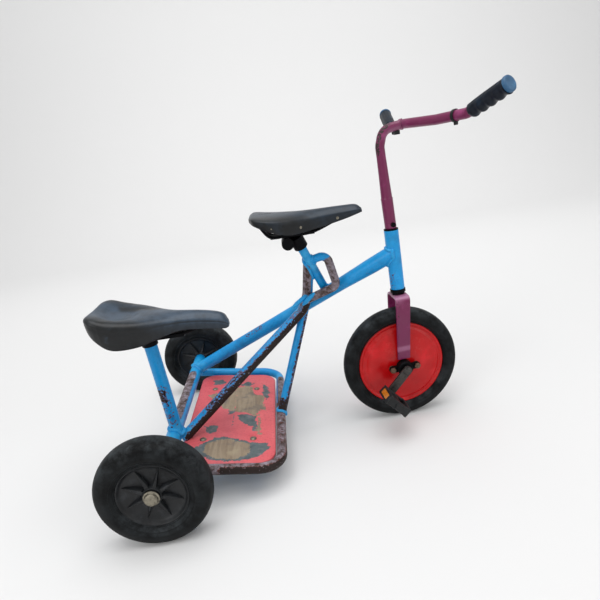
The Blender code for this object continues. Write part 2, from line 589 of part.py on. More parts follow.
CRANK_IN, CRANK_OUT = 0.0500, 0.0560
PEDAL_IN, PEDAL_OUT = 0.0640, 0.1160
PEDAL_HALF = 0.0290
for index, (side, sign) in enumerate((("left", 1), ("right", -1))):
    angle = math.radians(CRANK_REST_DEG + (180.0 if sign > 0 else 0.0))
    reach = Vector((math.cos(angle), 0, math.sin(angle))) * CRANK_LENGTH
    middle = (CRANK_IN + CRANK_OUT) / 2
    lie = Matrix.Translation((0, sign * middle, 0)) @ turn(-math.degrees(angle), "Y") @ turn(90.0, "X")
    crank = add(f"{side}_crank", sheet_mesh(rounded_rectangle(
        -0.0105, CRANK_LENGTH + 0.0095, -0.0095, 0.0095, 0.0088, 4), CRANK_OUT - CRANK_IN, lie),
        DARK_STEEL, FRONT_HUB, front_hub_axis)
    cut(crank, cylinder_mesh((0, 0, 0), (0, sign * 0.07, 0), AXLE_R + GAP, 20), FRONT_HUB)
    cut(crank, cylinder_mesh(reach, reach + Vector((0, sign * 0.07, 0)), 0.0052, 12), FRONT_HUB)
    spindle = turned_mesh([(0.0001, 0.1175), (0.0049, 0.1175), (0.0049, 0.0480), (0.0001, 0.0480)], 12)
    if sign < 0:
        spindle.transform(turn(180.0, "Z"))
    PEDAL = FRONT_HUB @ Matrix.Translation(reach)
    add(f"{side}_pedal_spindle", spindle, DARK_STEEL, PEDAL, front_hub_axis)
    pedal_axis = empty(f"{side}_pedal_axis", PEDAL, front_hub_axis)
    tilted = PEDAL @ turn(-PEDAL_TILT_DEG[index], "Y")
    low, high = sorted((sign * PEDAL_IN, sign * PEDAL_OUT))
    pedal = add(f"{side}_pedal", box_mesh((-PEDAL_HALF, low, -0.0100), (PEDAL_HALF, high, 0.0100)),
                GRIP_BLACK, tilted, pedal_axis, smooth=False)
    bevel = pedal.modifiers.new("edges", "BEVEL")
    bevel.width = 0.0025
    bevel.segments = 2
    cut(pedal, cylinder_mesh((0, low - 0.01, 0), (0, high + 0.01, 0), 0.0052, 12), tilted)
    for x in (-0.0160, 0.0160):
        window = box_mesh((x - 0.0075, low + 0.009, -0.02), (x + 0.0075, high - 0.009, 0.02))
        cut(pedal, window, tilted)
    pocket = box_mesh((-PEDAL_HALF - 0.0020, low + 0.010, -0.0062),
                      (-PEDAL_HALF + 0.0020, high - 0.010, 0.0062))
    cut(pedal, pocket, tilted)
    add(f"{side}_pedal_reflector", box_mesh(
        (-PEDAL_HALF - 0.0008, low + 0.010 + GAP, -0.0062 + GAP),
        (-PEDAL_HALF + 0.0020 - GAP, high - 0.010 - GAP, 0.0062 - GAP)),
        AMBER, tilted, pedal_axis, smooth=False)

# ---------------------------------------------------------------- saddles


def saddle_ring(x, half, top, rim, low):
    """One cross-section: crowned top, rounded rim and a skirt that pulls in at its lower edge."""
    right = [(0.0, top), (0.45 * half, top * 0.7 + rim * 0.3), (0.85 * half, rim),
             (half, rim - 0.25 * (rim - low)), (0.94 * half, low), (0.45 * half, low + 0.004)]
    ring = [(x, -y, z) for y, z in right] + [(x, 0.0, low + 0.006)]
    return ring + [(x, y, z) for y, z in reversed(right[1:])]


def saddle(name, sections, frame):
    return add(name, loft_mesh([saddle_ring(*section) for section in sections]), SADDLE_BLACK, frame)


REAR_SADDLE = ROOT @ Matrix.Translation((0.0, REAR_POST_Y, 0.0))
rear_sections = [(-0.0950, 0.030, 0.3740, 0.3740, 0.3560), (-0.0880, 0.052, 0.3790, 0.3800, 0.3430),
                 (-0.0700, 0.067, 0.3750, 0.3800, 0.3310), (-0.0400, 0.071, 0.3680, 0.3720, 0.3240),
                 (-0.0050, 0.061, 0.3620, 0.3630, 0.3200), (0.0300, 0.042, 0.3600, 0.3545, 0.3220),
                 (0.0650, 0.027, 0.3565, 0.3480, 0.3240), (0.1000, 0.021, 0.3520, 0.3430, 0.3200),
                 (0.1300, 0.019, 0.3455, 0.3370, 0.3150), (0.1470, 0.016, 0.3380, 0.3300, 0.3120),
                 (0.1540, 0.010, 0.3270, 0.3220, 0.3120)]
rear_saddle = saddle("rear_saddle_cover", rear_sections, REAR_SADDLE)
add("rear_saddle_frame", box_mesh((-0.060, -0.018, 0.3105), (0.070, 0.018, 0.3165)), DARK_STEEL,
    REAR_SADDLE, smooth=False)
post_lean = (REAR_POST_TOP - REAR_POST_FOOT).normalized()
clamp = add("rear_saddle_clamp", cylinder_mesh(
    REAR_POST_TOP - post_lean * 0.018, REAR_POST_TOP + post_lean * 0.0035, 0.0175), DARK_STEEL)
cut(clamp, cylinder_mesh(REAR_POST_FOOT, REAR_POST_TOP + post_lean * GAP, POST_R + GAP))

front_sections = [(0.2200, 0.045, 0.4980, 0.4970, 0.4890), (0.2300, 0.066, 0.5000, 0.4990, 0.4830),
                  (0.2600, 0.073, 0.4975, 0.4930, 0.4680), (0.2950, 0.060, 0.4955, 0.4880, 0.4560),
                  (0.3300, 0.038, 0.4940, 0.4840, 0.4560), (0.3700, 0.025, 0.4935, 0.4840, 0.4600),
                  (0.4100, 0.021, 0.4930, 0.4840, 0.4670), (0.4350, 0.019, 0.4915, 0.4840, 0.4730),
                  (0.4460, 0.013, 0.4840, 0.4800, 0.4750)]
front_saddle = saddle("front_saddle_cover", front_sections, ROOT)
add("front_saddle_frame", box_mesh((0.255, -0.018, 0.4470), (0.345, 0.018, 0.4520)), DARK_STEEL,
    ROOT, smooth=False)
lean = (SEAT_TOP - SEAT_FOOT).normalized()
clamp = add("front_saddle_clamp", cylinder_mesh(SEAT_TOP - lean * 0.024, SEAT_TOP + lean * 0.0035, 0.0150, 32),
            DARK_STEEL)
cut(clamp, cylinder_mesh((0.2880, -0.0220, 0.4335), (0.2880, 0.0220, 0.4335), 0.0125), ROOT, "UNION")
cut(clamp, cylinder_mesh(SEAT_FOOT, SEAT_TOP + lean * GAP, SEAT_TUBE_R + GAP))
cut(clamp, box_mesh((0.20, -0.05, 0.4467), (0.40, 0.05, 0.50)))
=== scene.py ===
"""Builds the finished look of a two-seat children's tricycle around its fixed frame."""

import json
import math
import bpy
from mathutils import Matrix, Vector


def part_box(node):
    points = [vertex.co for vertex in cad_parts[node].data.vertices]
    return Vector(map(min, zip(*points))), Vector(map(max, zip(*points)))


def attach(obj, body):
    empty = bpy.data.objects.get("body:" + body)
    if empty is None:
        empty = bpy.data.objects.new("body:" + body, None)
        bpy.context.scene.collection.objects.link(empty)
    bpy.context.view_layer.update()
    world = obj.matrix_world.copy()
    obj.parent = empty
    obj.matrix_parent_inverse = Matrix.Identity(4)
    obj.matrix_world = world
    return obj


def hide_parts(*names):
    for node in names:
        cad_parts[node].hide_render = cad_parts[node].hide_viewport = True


bl_info = {
    "name": "Two-Seat Tricycle",
    "version": (1, 0, 0),
    "blender": (4, 5, 0),
    "location": "3D View > Sidebar > Tricycle",
    "description": "Painted tube frame, wheels, saddles and worn finishes of a children's tricycle",
    "category": "Object",
}

import bmesh
import bpy
import numpy as np
from bpy.props import FloatProperty, FloatVectorProperty, IntProperty, PointerProperty
from mathutils import Matrix, Vector

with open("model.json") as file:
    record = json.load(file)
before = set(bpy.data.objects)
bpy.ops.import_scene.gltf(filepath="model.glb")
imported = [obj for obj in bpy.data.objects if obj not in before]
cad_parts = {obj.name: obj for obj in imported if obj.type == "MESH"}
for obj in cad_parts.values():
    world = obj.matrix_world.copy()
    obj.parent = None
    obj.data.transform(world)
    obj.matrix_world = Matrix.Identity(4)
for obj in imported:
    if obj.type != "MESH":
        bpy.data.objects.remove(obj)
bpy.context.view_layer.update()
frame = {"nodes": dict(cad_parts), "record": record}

# Places, read from the frame.
JOINTS = {joint["name"]: joint for joint in frame["record"]["behaviour"]["joints"]}


def middle(node):
    low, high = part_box(node)
    return (Vector(low) + Vector(high)) / 2


def pivot(joint):
    return Vector(JOINTS[joint]["pos_m"])


def turn(degrees, axis):
    return Matrix.Rotation(math.radians(degrees), 4, axis)


def across(point, sign):
    return Vector((point[0], sign * point[1], point[2]))


AXLE = middle("rear_axle_rod")
ROOT = Matrix.Translation((AXLE.x, 0.0, 0.0))
STEER_AXIS = Vector(JOINTS["steering"]["axis"])
HEAD = (Matrix.Translation(pivot("steering"))
        @ Matrix.Rotation(math.atan2(STEER_AXIS.x, STEER_AXIS.z), 4, "Y"))
REAR_HUBS = {"left": Matrix.Translation(pivot("left_rear_wheel_spin")),
             "right": Matrix.Translation(pivot("right_rear_wheel_spin")) @ turn(180.0, "Z")}
HEAD_LENGTH = 0.1275
PLATFORM_HEIGHT, PLATFORM_DROP = 0.085, 0.165
PLATFORM = (ROOT @ Matrix.Translation((0.0, 0.0, PLATFORM_HEIGHT))
            @ Matrix.Rotation(math.atan(PLATFORM_DROP), 4, "Y"))


def frame_point(x, y, z):
    """A point given from the ground under the rear axle."""
    return Vector((AXLE.x + x, y, z))


def srgb(code):
    """A linear colour from a six-digit hexadecimal one."""
    parts = [int(code[i:i + 2], 16) / 255.0 for i in (0, 2, 4)]
    return tuple(p / 12.92 if p <= 0.04045 else ((p + 0.055) / 1.055) ** 2.4 for p in parts)


# What a user would change.


def length(name, default, about, most=1.0):
    return FloatProperty(name=name, default=default, min=0.0, max=most, description=about,
                         unit="LENGTH", precision=4)


def colour(name, code, about):
    return FloatVectorProperty(name=name, default=srgb(code), size=3, min=0.0, max=1.0,
                               subtype="COLOR", description=about)


class TricycleTubes(bpy.types.PropertyGroup):
    main_radius: length("Main Tube Radius", 0.0143, "Outside radius of the long tube to the rear axle")
    head_radius: length("Head Tube Radius", 0.015, "Outside radius of the tube that carries the fork")
    stay_radius: length("Stay Radius", 0.0115, "Outside radius of the crossing stay")
    seat_radius: length("Seat Tube Radius", 0.0095, "Outside radius of the front seat tube")
    loop_radius: length("Hand Loop Radius", 0.009, "Outside radius of the passenger's hand loop")
    riser_radius: length("Riser Radius", 0.0098, "Outside radius of the tube up from the footboard")
    rail_radius: length("Rail Radius", 0.01, "Outside radius of the rail around the footboard")
    post_radius: length("Rear Post Radius", 0.0125, "Outside radius of the rear seat post")
    axle_radius: length("Axle Tube Radius", 0.0142, "Outside radius of the rear axle tube")
    weld_radius: length("Weld Radius", 0.0036, "Radius of the bead run round each joint")
    weld_ripple: length("Weld Ripple", 0.0028, "Distance between the ripples of a weld bead")
    bar_radius: length("Handlebar Radius", 0.0092, "Outside radius of the bent handlebar")
    stem_radius: length("Stem Radius", 0.012, "Outside radius of the sleeve below the handlebar")
    grip_radius: length("Grip Radius", 0.0126, "Radius of the handlebar grips")


class TricycleWheels(bpy.types.PropertyGroup):
    rear_radius: length("Rear Wheel Radius", 0.1, "Outside radius of the rear tyres")
    rear_width: length("Rear Tyre Width", 0.05, "Width over the sidewalls of a rear tyre")
    rim_radius: length("Rear Rim Radius", 0.0615, "Radius at which a rear tyre meets its rim")
    rim_ribs: IntProperty(name="Rim Ribs", default=8, min=3, max=16,
                          description="Star ribs on each face of a rear rim")
    front_radius: length("Front Wheel Radius", 0.1286, "Outside radius of the front tyre")
    front_width: length("Front Tyre Width", 0.0392, "Width over the sidewalls of the front tyre")
    disc_radius: length("Wheel Disc Radius", 0.0961, "Radius of the front wheel's discs")
    crank_length: length("Crank Length", 0.062, "From the front axle to the pedal spindle")


class TricyclePaint(bpy.types.PropertyGroup):
    blue: colour("Frame Blue", "008FD2", "Enamel on the frame tubes")
    blue_shade: colour("Frame Blue Shade", "00669E", "Thinner, dirtier blue")
    # The weld blue is laid on the welds and on upward and lit faces of the tubes: partly fresh paint,
    # partly painted highlight.
    blue_light: colour("Weld Blue", "40AEE0", "Thick fresh blue over the welds")
    primer: colour("Primer", "82777F", "Bare primer where the blue is rubbed away")
    primer_brown: colour("Brown Primer", "3A291F", "Oily brown stain on the primer")
    chip: colour("Chip", "1E0F0A", "Dark metal in the chips")
    rust: colour("Rust", "6B2A18", "Rust at the edge of a chip")
    magenta: colour("Fork Magenta", "6C1546", "Enamel on the fork and the handlebar")
    red: colour("Disc Red", "B60006", "Plastic of the front wheel's discs")
    board: colour("Board Red", "E2646A", "Paint on the footboard")
    board_wood: colour("Bare Board", "A0907A", "Dirty wood where the board is worn through")
    board_grey: colour("Grey Board", "5F6A6C", "Undercoat around the worn wood")
    rubber: colour("Tyre Rubber", "060708", "Tyres")
    dust: colour("Dust", "5C6266", "Dry dust on rubber and plastic")
    rim: colour("Rim Grey", "0C0E11", "Moulded rear rims")
    grip: colour("Grip Navy", "020B1A", "Rubber grips")
    saddle: colour("Saddle Black", "050709", "Both saddle covers")
    amber: colour("Amber", "DC8A14", "Pedal reflectors")
    backdrop: colour("Backdrop", "E4E4E4", "Floor and background")


# Shader building.


def put(tree, kind, sockets=None, **settings):
    """A new node with its settings; a socket value may be another node's output."""
    made = tree.nodes.new(kind)
    for name, value in settings.items():
        setattr(made, name, value)
    for name, value in (sockets or {}).items():
        socket = made.inputs[name]
        if isinstance(value, bpy.types.NodeSocket):
            tree.links.new(value, socket)
        else:
            socket.default_value = value
    return made


def rgba(value):
    """A colour input's value: a node's output, a linear colour or a hexadecimal code."""
    if isinstance(value, bpy.types.NodeSocket):
        return value
    return (*(srgb(value) if isinstance(value, str) else value[:3]), 1.0)


def mixed(tree, mask, first, second):
    return put(tree, "ShaderNodeMix", {0: mask, 6: rgba(first), 7: rgba(second)},
               data_type="RGBA").outputs[2]


def sums(tree, operation, first, second=0.0, third=0.0, clamp=False):
    return put(tree, "ShaderNodeMath", {0: first, 1: second, 2: third}, operation=operation,
               use_clamp=clamp).outputs[0]


def times(tree, first, second):
    return sums(tree, "MULTIPLY", first, second)


def between(tree, value, low, high, to_low=0.0, to_high=1.0):
    return put(tree, "ShaderNodeMapRange",
               {"Value": value, "From Min": low, "From Max": high, "To Min": to_low, "To Max": to_high},
               interpolation_type="SMOOTHSTEP").outputs[0]


def object_coords(tree):
    return put(tree, "ShaderNodeTexCoord").outputs["Object"]


def noise(tree, scale, detail=4.0, roughness=0.55, distortion=0.0, vector=None):
    return put(tree, "ShaderNodeTexNoise", {
        "Vector": object_coords(tree) if vector is None else vector, "Scale": scale,
        "Detail": detail, "Roughness": roughness, "Distortion": distortion}).outputs["Fac"]


def shader_group(name, inputs, outputs):
    """A shader node group with named sockets, and its two end nodes' sockets."""
    tree = bpy.data.node_groups.new(name, "ShaderNodeTree")
    for label, kind, default in inputs:
        socket = tree.interface.new_socket(label, in_out="INPUT", socket_type="NodeSocket" + kind)
        socket.default_value = default
    for label, kind in outputs:
        tree.interface.new_socket(label, in_out="OUTPUT", socket_type="NodeSocket" + kind)
    return tree, tree.nodes.new("NodeGroupInput").outputs, tree.nodes.new("NodeGroupOutput").inputs


GREY = (0.5, 0.5, 0.5, 1.0)


def ragged_group():
    """A mask with torn edges, grown from a smooth amount between 0 and 1."""
    tree, given, out = shader_group(
        "ragged_mask", [("Amount", "Float", 0.5), ("Scale", "Float", 150.0), ("Ragged", "Float", 0.6)],
        [("Mask", "Float")])
    torn = sums(tree, "SUBTRACT", noise(tree, given["Scale"], 7.0, 0.68), 0.5)
    level = sums(tree, "MULTIPLY_ADD", torn, given["Ragged"], given["Amount"])
    tree.links.new(between(tree, level, 0.47, 0.53), out["Mask"])
    return tree


def chips_group():
    """Small scattered chips, the more of them the higher the amount."""
    tree, given, out = shader_group(
        "scattered_chips", [("Amount", "Float", 0.0), ("Scale", "Float", 240.0)], [("Mask", "Float")])
    grains = noise(tree, given["Scale"], 5.0, 0.62)
    bar = between(tree, given["Amount"], 0.0, 1.0, 0.8, 0.34)
    mask = between(tree, sums(tree, "SUBTRACT", grains, bar), 0.0, 0.025)
    tree.links.new(mask, out["Mask"])
    return tree


def mottle_group():
    """A colour that drifts between a darker and a lighter one."""
    tree, given, out = shader_group(
        "mottle", [("Color", "Color", GREY), ("Dark", "Color", GREY), ("Light", "Color", GREY),
                   ("Scale", "Float", 20.0), ("Amount", "Float", 0.6)], [("Color", "Color")])
    drift = noise(tree, given["Scale"], 5.0, 0.6)
    darker = sums(tree, "MULTIPLY", between(tree, drift, 0.5, 0.3), given["Amount"])
    lighter = sums(tree, "MULTIPLY", between(tree, drift, 0.52, 0.72), given["Amount"])
    tree.links.new(mixed(tree, lighter, mixed(tree, darker, given["Color"], given["Dark"]),
                         given["Light"]), out["Color"])
    return tree


def dust_group():
    """Dust that settles on upward faces, in drifts."""
    tree, given, out = shader_group(
        "dust_film", [("Color", "Color", GREY), ("Dust", "Color", GREY), ("Amount", "Float", 0.3),
                      ("Scale", "Float", 30.0), ("Roughness", "Float", 0.5)],
        [("Color", "Color"), ("Roughness", "Float")])
    facing = put(tree, "ShaderNodeSeparateXYZ",
                 {0: put(tree, "ShaderNodeTexCoord").outputs["Normal"]}).outputs["Z"]
    upward = between(tree, facing, -0.2, 0.95)
    drifts = between(tree, noise(tree, given["Scale"], 8.0, 0.7), 0.33, 0.72)
    specks = between(tree, noise(tree, 900.0, 2.0, 0.5), 0.6, 0.75)
    film = sums(tree, "MULTIPLY", sums(tree, "MULTIPLY_ADD", upward, 0.8, 0.2),
                sums(tree, "MULTIPLY_ADD", specks, 0.25, drifts, clamp=True))
    film = sums(tree, "MULTIPLY", film, given["Amount"], clamp=True)
    tree.links.new(mixed(tree, film, given["Color"], given["Dust"]), out["Color"])
    dull = sums(tree, "MULTIPLY_ADD", film, 0.5, given["Roughness"], clamp=True)
    tree.links.new(dull, out["Roughness"])
    return tree


def grain_group():
    """Pebbled grain with fine pores, as a height."""
    tree, given, out = shader_group(
        "pebble_grain", [("Scale", "Float", 700.0), ("Depth", "Float", 0.5)], [("Height", "Float")])
    cells = put(tree, "ShaderNodeTexVoronoi", {
        "Vector": object_coords(tree), "Scale": given["Scale"], "Randomness": 0.9},
        feature="SMOOTH_F1").outputs["Distance"]
    pores = noise(tree, sums(tree, "MULTIPLY", given["Scale"], 2.4), 3.0, 0.6)
    height = sums(tree, "MULTIPLY_ADD", pores, 0.4, sums(tree, "SUBTRACT", 1.0, cells))
    tree.links.new(sums(tree, "MULTIPLY", height, given["Depth"]), out["Height"])
    return tree


def scratch_group():
    """Thin scratches along one axis of the piece."""
    tree, given, out = shader_group(
        "scratches", [("Amount", "Float", 0.3), ("Scale", "Float", 60.0),
                      ("Stretch", "Vector", (1.0, 1.0, 1.0))], [("Mask", "Float")])
    drawn = put(tree, "ShaderNodeVectorMath", {0: object_coords(tree), 1: given["Stretch"]},
                operation="MULTIPLY").outputs[0]
    lines = noise(tree, given["Scale"], 6.0, 0.8, 0.4, drawn)
    bar = between(tree, given["Amount"], 0.0, 1.0, 0.78, 0.48)
    mask = between(tree, sums(tree, "SUBTRACT", lines, bar), 0.0, 0.03)
    tree.links.new(mask, out["Mask"])
    return tree


EFFECTS = {}
ALONG_Z = (1.0, 1.0, 0.06)


def build_effects():
    for name, build in (("ragged", ragged_group), ("chips", chips_group), ("mottle", mottle_group),
                        ("dust", dust_group), ("grain", grain_group), ("scratches", scratch_group)):
        EFFECTS[name] = build()


def effect(tree, name, **values):
    """One shared effect placed in a material; returns its output sockets."""
    made = tree.nodes.new("ShaderNodeGroup")
    made.node_tree = EFFECTS[name]
    for label, value in values.items():
        socket = made.inputs[label.replace("_", " ")]
        if isinstance(value, bpy.types.NodeSocket):
            tree.links.new(value, socket)
        elif socket.type == "RGBA":
            socket.default_value = rgba(value)
        else:
            socket.default_value = value
    return made.outputs


def mottled(tree, colour_in, dark, light, scale, amount):
    """A colour that drifts towards a darker and a lighter one."""
    return effect(tree, "mottle", Color=colour_in, Dark=dark, Light=light, Scale=scale,
                  Amount=amount)["Color"]


def torn_mask(tree, amount, scale, ragged):
    """Where the paint is gone, with a ragged edge."""
    return effect(tree, "ragged", Amount=amount, Scale=scale, Ragged=ragged)["Mask"]


def scratched(tree, amount, scale, stretch=ALONG_Z):
    """Where fine scratches lie, drawn out along the axis with the smallest stretch."""
    return effect(tree, "scratches", Amount=amount, Scale=scale, Stretch=stretch)["Mask"]


def finish(name, **values):
    """A material and its Principled shader, with the settings that are the same all over."""
    made = bpy.data.materials.new(name)
    made.use_nodes = True
    shader = made.node_tree.nodes["Principled BSDF"]
    for label, value in values.items():
        shader.inputs[label.replace("_", " ")].default_value = value
    return made, made.node_tree, shader


def surface(tree, shader, height, strength, distance, **links):
    """Feeds the shader: a bump from a height, and any colour, roughness or metallic output."""
    bump = put(tree, "ShaderNodeBump", {"Strength": strength, "Distance": distance, "Height": height})
    tree.links.new(bump.outputs["Normal"], shader.inputs["Normal"])
    for label, socket in links.items():
        tree.links.new(socket, shader.inputs[label.replace("_", " ")])


def wear_channels(tree):
    stored = put(tree, "ShaderNodeAttribute", attribute_name="wear").outputs["Color"]
    parts = put(tree, "ShaderNodeSeparateColor", {0: stored}).outputs
    return parts["Red"], parts["Green"], parts["Blue"]


# Finishes.


def blue_enamel(paint):
    made, tree, shader = finish("blue_enamel", IOR=1.5, Coat_Weight=0.1, Coat_Roughness=0.12,
                                Specular_IOR_Level=0.32)
    bare, chipped, fresh_and_highlight = wear_channels(tree)
    body = mottled(tree, paint.blue, paint.blue_shade, "2BA2E6", 26.0, 0.55)
    fine = mottled(tree, body, paint.blue_shade, body, 300.0, 0.35)
    # Lighter weld blue where the third wear channel is set: fresh paint on the welds and painted highlight
    # on upward and lit faces.
    glaze_and_highlight = times(tree, fresh_and_highlight, between(tree, noise(tree, 60.0), 0.35, 0.65, 0.25, 0.8))
    body = mixed(tree, glaze_and_highlight, fine, paint.blue_light)
    undercoat = mottled(tree, paint.primer, paint.primer_brown, "A79FAC", 85.0, 1.0)
    stained = mixed(tree, between(tree, noise(tree, 62.0, 7.0, 0.7), 0.42, 0.64), undercoat,
                    paint.primer_brown)
    worn = torn_mask(tree, bare, 170.0, 0.85)
    edge_amount = sums(tree, "ADD", bare, 0.11)
    torn = torn_mask(tree, edge_amount, 170.0, 0.85)
    rim = times(tree, sums(tree, "SUBTRACT", torn, worn, clamp=True), 0.65)
    chips = effect(tree, "chips", Amount=chipped, Scale=230.0)["Mask"]
    halo = effect(tree, "chips", Amount=times(tree, chipped, 1.22), Scale=230.0)["Mask"]
    rusty = times(tree, sums(tree, "SUBTRACT", halo, chips, clamp=True), 0.8)
    colour_out = mixed(tree, worn, mixed(tree, rim, body, paint.rust), stained)
    colour_out = mixed(tree, chips, mixed(tree, rusty, colour_out, paint.rust), paint.chip)
    lost = sums(tree, "MAXIMUM", worn, chips)
    roughness = between(tree, lost, 0.0, 1.0, 0.34, 0.62)
    speckled = sums(tree, "MULTIPLY_ADD", noise(tree, 260.0, 3.0), 0.12, roughness)
    orange_peel = noise(tree, 520.0, 2.0)
    height = sums(tree, "MULTIPLY_ADD", lost, -0.8, times(tree, orange_peel, 0.12))
    surface(tree, shader, height, 0.55, 0.0005, Base_Color=colour_out, Roughness=speckled)
    return made


def magenta_enamel(paint):
    made, tree, shader = finish("magenta_enamel", IOR=1.5, Coat_Weight=0.15, Coat_Roughness=0.15,
                                Specular_IOR_Level=0.4)
    bare, chipped, fresh_and_highlight = wear_channels(tree)
    body = mottled(tree, paint.magenta, "6A2148", "A4437C", 30.0, 0.5)
    # Light pink where the third wear channel is set: painted highlight on the fork crown's bends and lit
    # faces.
    body = mixed(tree, times(tree, fresh_and_highlight, 0.85), body, "D29ABD")
    scraped = torn_mask(tree, bare, 330.0, 0.9)
    chips = effect(tree, "chips", Amount=chipped, Scale=260.0)["Mask"]
    lines = scratched(tree, sums(tree, "MULTIPLY_ADD", chipped, 0.5, 0.1), 95.0)
    colour_out = mixed(tree, times(tree, lines, 0.5), body, "57203C")
    colour_out = mixed(tree, scraped, colour_out, "D9CDD2")
    colour_out = mixed(tree, chips, colour_out, "2A1518")
    lost = sums(tree, "MAXIMUM", scraped, chips)
    roughness = sums(tree, "MULTIPLY_ADD", noise(tree, 200.0, 3.0), 0.14,
                     between(tree, lost, 0.0, 1.0, 0.3, 0.55))
    height = sums(tree, "MULTIPLY_ADD", lost, -0.8, times(tree, noise(tree, 500.0), 0.12))
    surface(tree, shader, height, 0.5, 0.0005, Base_Color=colour_out, Roughness=roughness)
    return made


def tyre_rubber(paint):
    made, tree, shader = finish("tyre_rubber", IOR=1.45, Specular_IOR_Level=0.14)
    body = mottled(tree, paint.rubber, "020303", "101315", 45.0, 0.8)
    dusted = effect(tree, "dust", Color=body, Dust=paint.dust, Amount=0.44, Scale=38.0,
                    Roughness=0.5)
    scuffs = scratched(tree, 0.22, 120.0, (1.0, 0.35, 1.0))
    colour_out = mixed(tree, times(tree, scuffs, 0.35), dusted["Color"], paint.dust)
    height = sums(tree, "ADD", effect(tree, "grain", Scale=900.0, Depth=0.4)["Height"],
                  times(tree, scuffs, 0.5))
    surface(tree, shader, height, 0.35, 0.0004, Base_Color=colour_out, Roughness=dusted["Roughness"])
    return made


def moulded(name, colour_in, light, roughness, dust, dust_amount, grain_scale=1100.0, **constants):
    """Moulded plastic: a mottled body, fine grain, dust and a few light scuffs."""
    made, tree, shader = finish(name, **constants)
    darker = tuple(0.6 * c for c in rgba(colour_in)[:3])
    body = mottled(tree, colour_in, darker, light, 55.0, 0.7)
    dusted = effect(tree, "dust", Color=body, Dust=dust, Amount=dust_amount, Scale=60.0,
                    Roughness=roughness)
    scuffs = scratched(tree, 0.16, 90.0, (0.5, 1.0, 1.0))
    colour_out = mixed(tree, times(tree, scuffs, 0.4), dusted["Color"], light)
    height = sums(tree, "SUBTRACT", effect(tree, "grain", Scale=grain_scale, Depth=0.3)["Height"],
                  times(tree, scuffs, 0.4))
    surface(tree, shader, height, 0.25, 0.0003, Base_Color=colour_out, Roughness=dusted["Roughness"])
    return made


def saddle_cover(name, paint, light, roughness, grain_scale, dust_amount, **constants):
    """Grained black cover with dust; its crown is lighter with painted sheen and some rubbing, and its
    creases are darker with painted shade.
    """
    made, tree, shader = finish(name, **constants)
    rubbed_and_sheen, crease_shade, _ = wear_channels(tree)
    body = mottled(tree, paint.saddle, "010203", light, 32.0, 0.3)
    # The lighter crown is painted sheen, a painted reflection of the overhead light, with some rubbing.
    crown = times(tree, rubbed_and_sheen, between(tree, noise(tree, 70.0, 5.0), 0.3, 0.65, 0.55, 1.0))
    body = mixed(tree, crown, body, light)
    # Near-black along the creases: painted shade.
    body = mixed(tree, crease_shade, body, "050607")
    dusted = effect(tree, "dust", Color=body, Dust="56616B", Amount=dust_amount, Scale=48.0,
                    Roughness=roughness)
    scuffs = scratched(tree, 0.14, 70.0, (0.25, 1.0, 1.0))
    colour_out = mixed(tree, times(tree, scuffs, 0.35), dusted["Color"], "4C5761")
    height = sums(tree, "SUBTRACT", effect(tree, "grain", Scale=grain_scale, Depth=0.6)["Height"],
                  times(tree, scuffs, 0.4))
    surface(tree, shader, height, 0.3, 0.0004, Base_Color=colour_out, Roughness=dusted["Roughness"])
    return made


def board_paint(paint):
    made, tree, shader = finish("board_paint", IOR=1.45)
    bare, undercoat, stain = wear_channels(tree)
    body = mottled(tree, paint.board, "D04A54", "F07A7E", 18.0, 0.6)
    body = mottled(tree, body, "B2454C", body, 240.0, 0.45)
    body = mixed(tree, times(tree, stain, 0.7), body, "B0606A")
    fibres = put(tree, "ShaderNodeVectorMath", {0: object_coords(tree), 1: (1.0, 0.1, 1.0)},
                 operation="MULTIPLY").outputs[0]
    figure = noise(tree, 90.0, 7.0, 0.65, 0.8, fibres)
    wood = mixed(tree, between(tree, figure, 0.35, 0.68), "8A7864", paint.board_wood)
    wood = mottled(tree, wood, "6F665F", "A99A80", 28.0, 0.8)
    through = torn_mask(tree, bare, 75.0, 1.5)
    rubbed_and_sheen = torn_mask(tree, undercoat, 80.0, 1.5)
    grey = mottled(tree, paint.board_grey, "4A5256", "8A7F88", 70.0, 0.8)
    lines = scratched(tree, 0.2, 55.0, (1.0, 0.12, 1.0))
    colour_out = mixed(tree, times(tree, lines, 0.35), body, "8D5A5E")
    colour_out = mixed(tree, rubbed_and_sheen, colour_out, grey)
    colour_out = mixed(tree, through, colour_out, wood)
    lost = sums(tree, "MAXIMUM", through, rubbed_and_sheen)
    roughness = sums(tree, "MULTIPLY_ADD", noise(tree, 160.0, 3.0), 0.15,
                     between(tree, lost, 0.0, 1.0, 0.42, 0.66))
    height = sums(tree, "MULTIPLY_ADD", lost, -0.7, times(tree, figure, 0.35))
    surface(tree, shader, height, 0.45, 0.0006, Base_Color=colour_out, Roughness=roughness)
    return made


def red_plastic(paint):
    made, tree, shader = finish("red_plastic", IOR=1.5, Coat_Weight=0.12, Coat_Roughness=0.12,
                                Specular_IOR_Level=0.25)
    body = mottled(tree, paint.red, "9C0208", "E01824", 16.0, 0.6)
    dusted = effect(tree, "dust", Color=body, Dust="C98A80", Amount=0.1, Scale=40.0, Roughness=0.26)
    scuffs = scratched(tree, 0.24, 75.0, (1.0, 1.0, 0.35))
    colour_out = mixed(tree, times(tree, scuffs, 0.45), dusted["Color"], "8F2A1E")
    roughness = sums(tree, "MULTIPLY_ADD", scuffs, 0.2, dusted["Roughness"])
    height = sums(tree, "SUBTRACT", times(tree, noise(tree, 60.0, 2.0), 0.6),
                  times(tree, scuffs, 0.5))
    surface(tree, shader, height, 0.15, 0.0008, Base_Color=colour_out, Roughness=roughness)
    return made


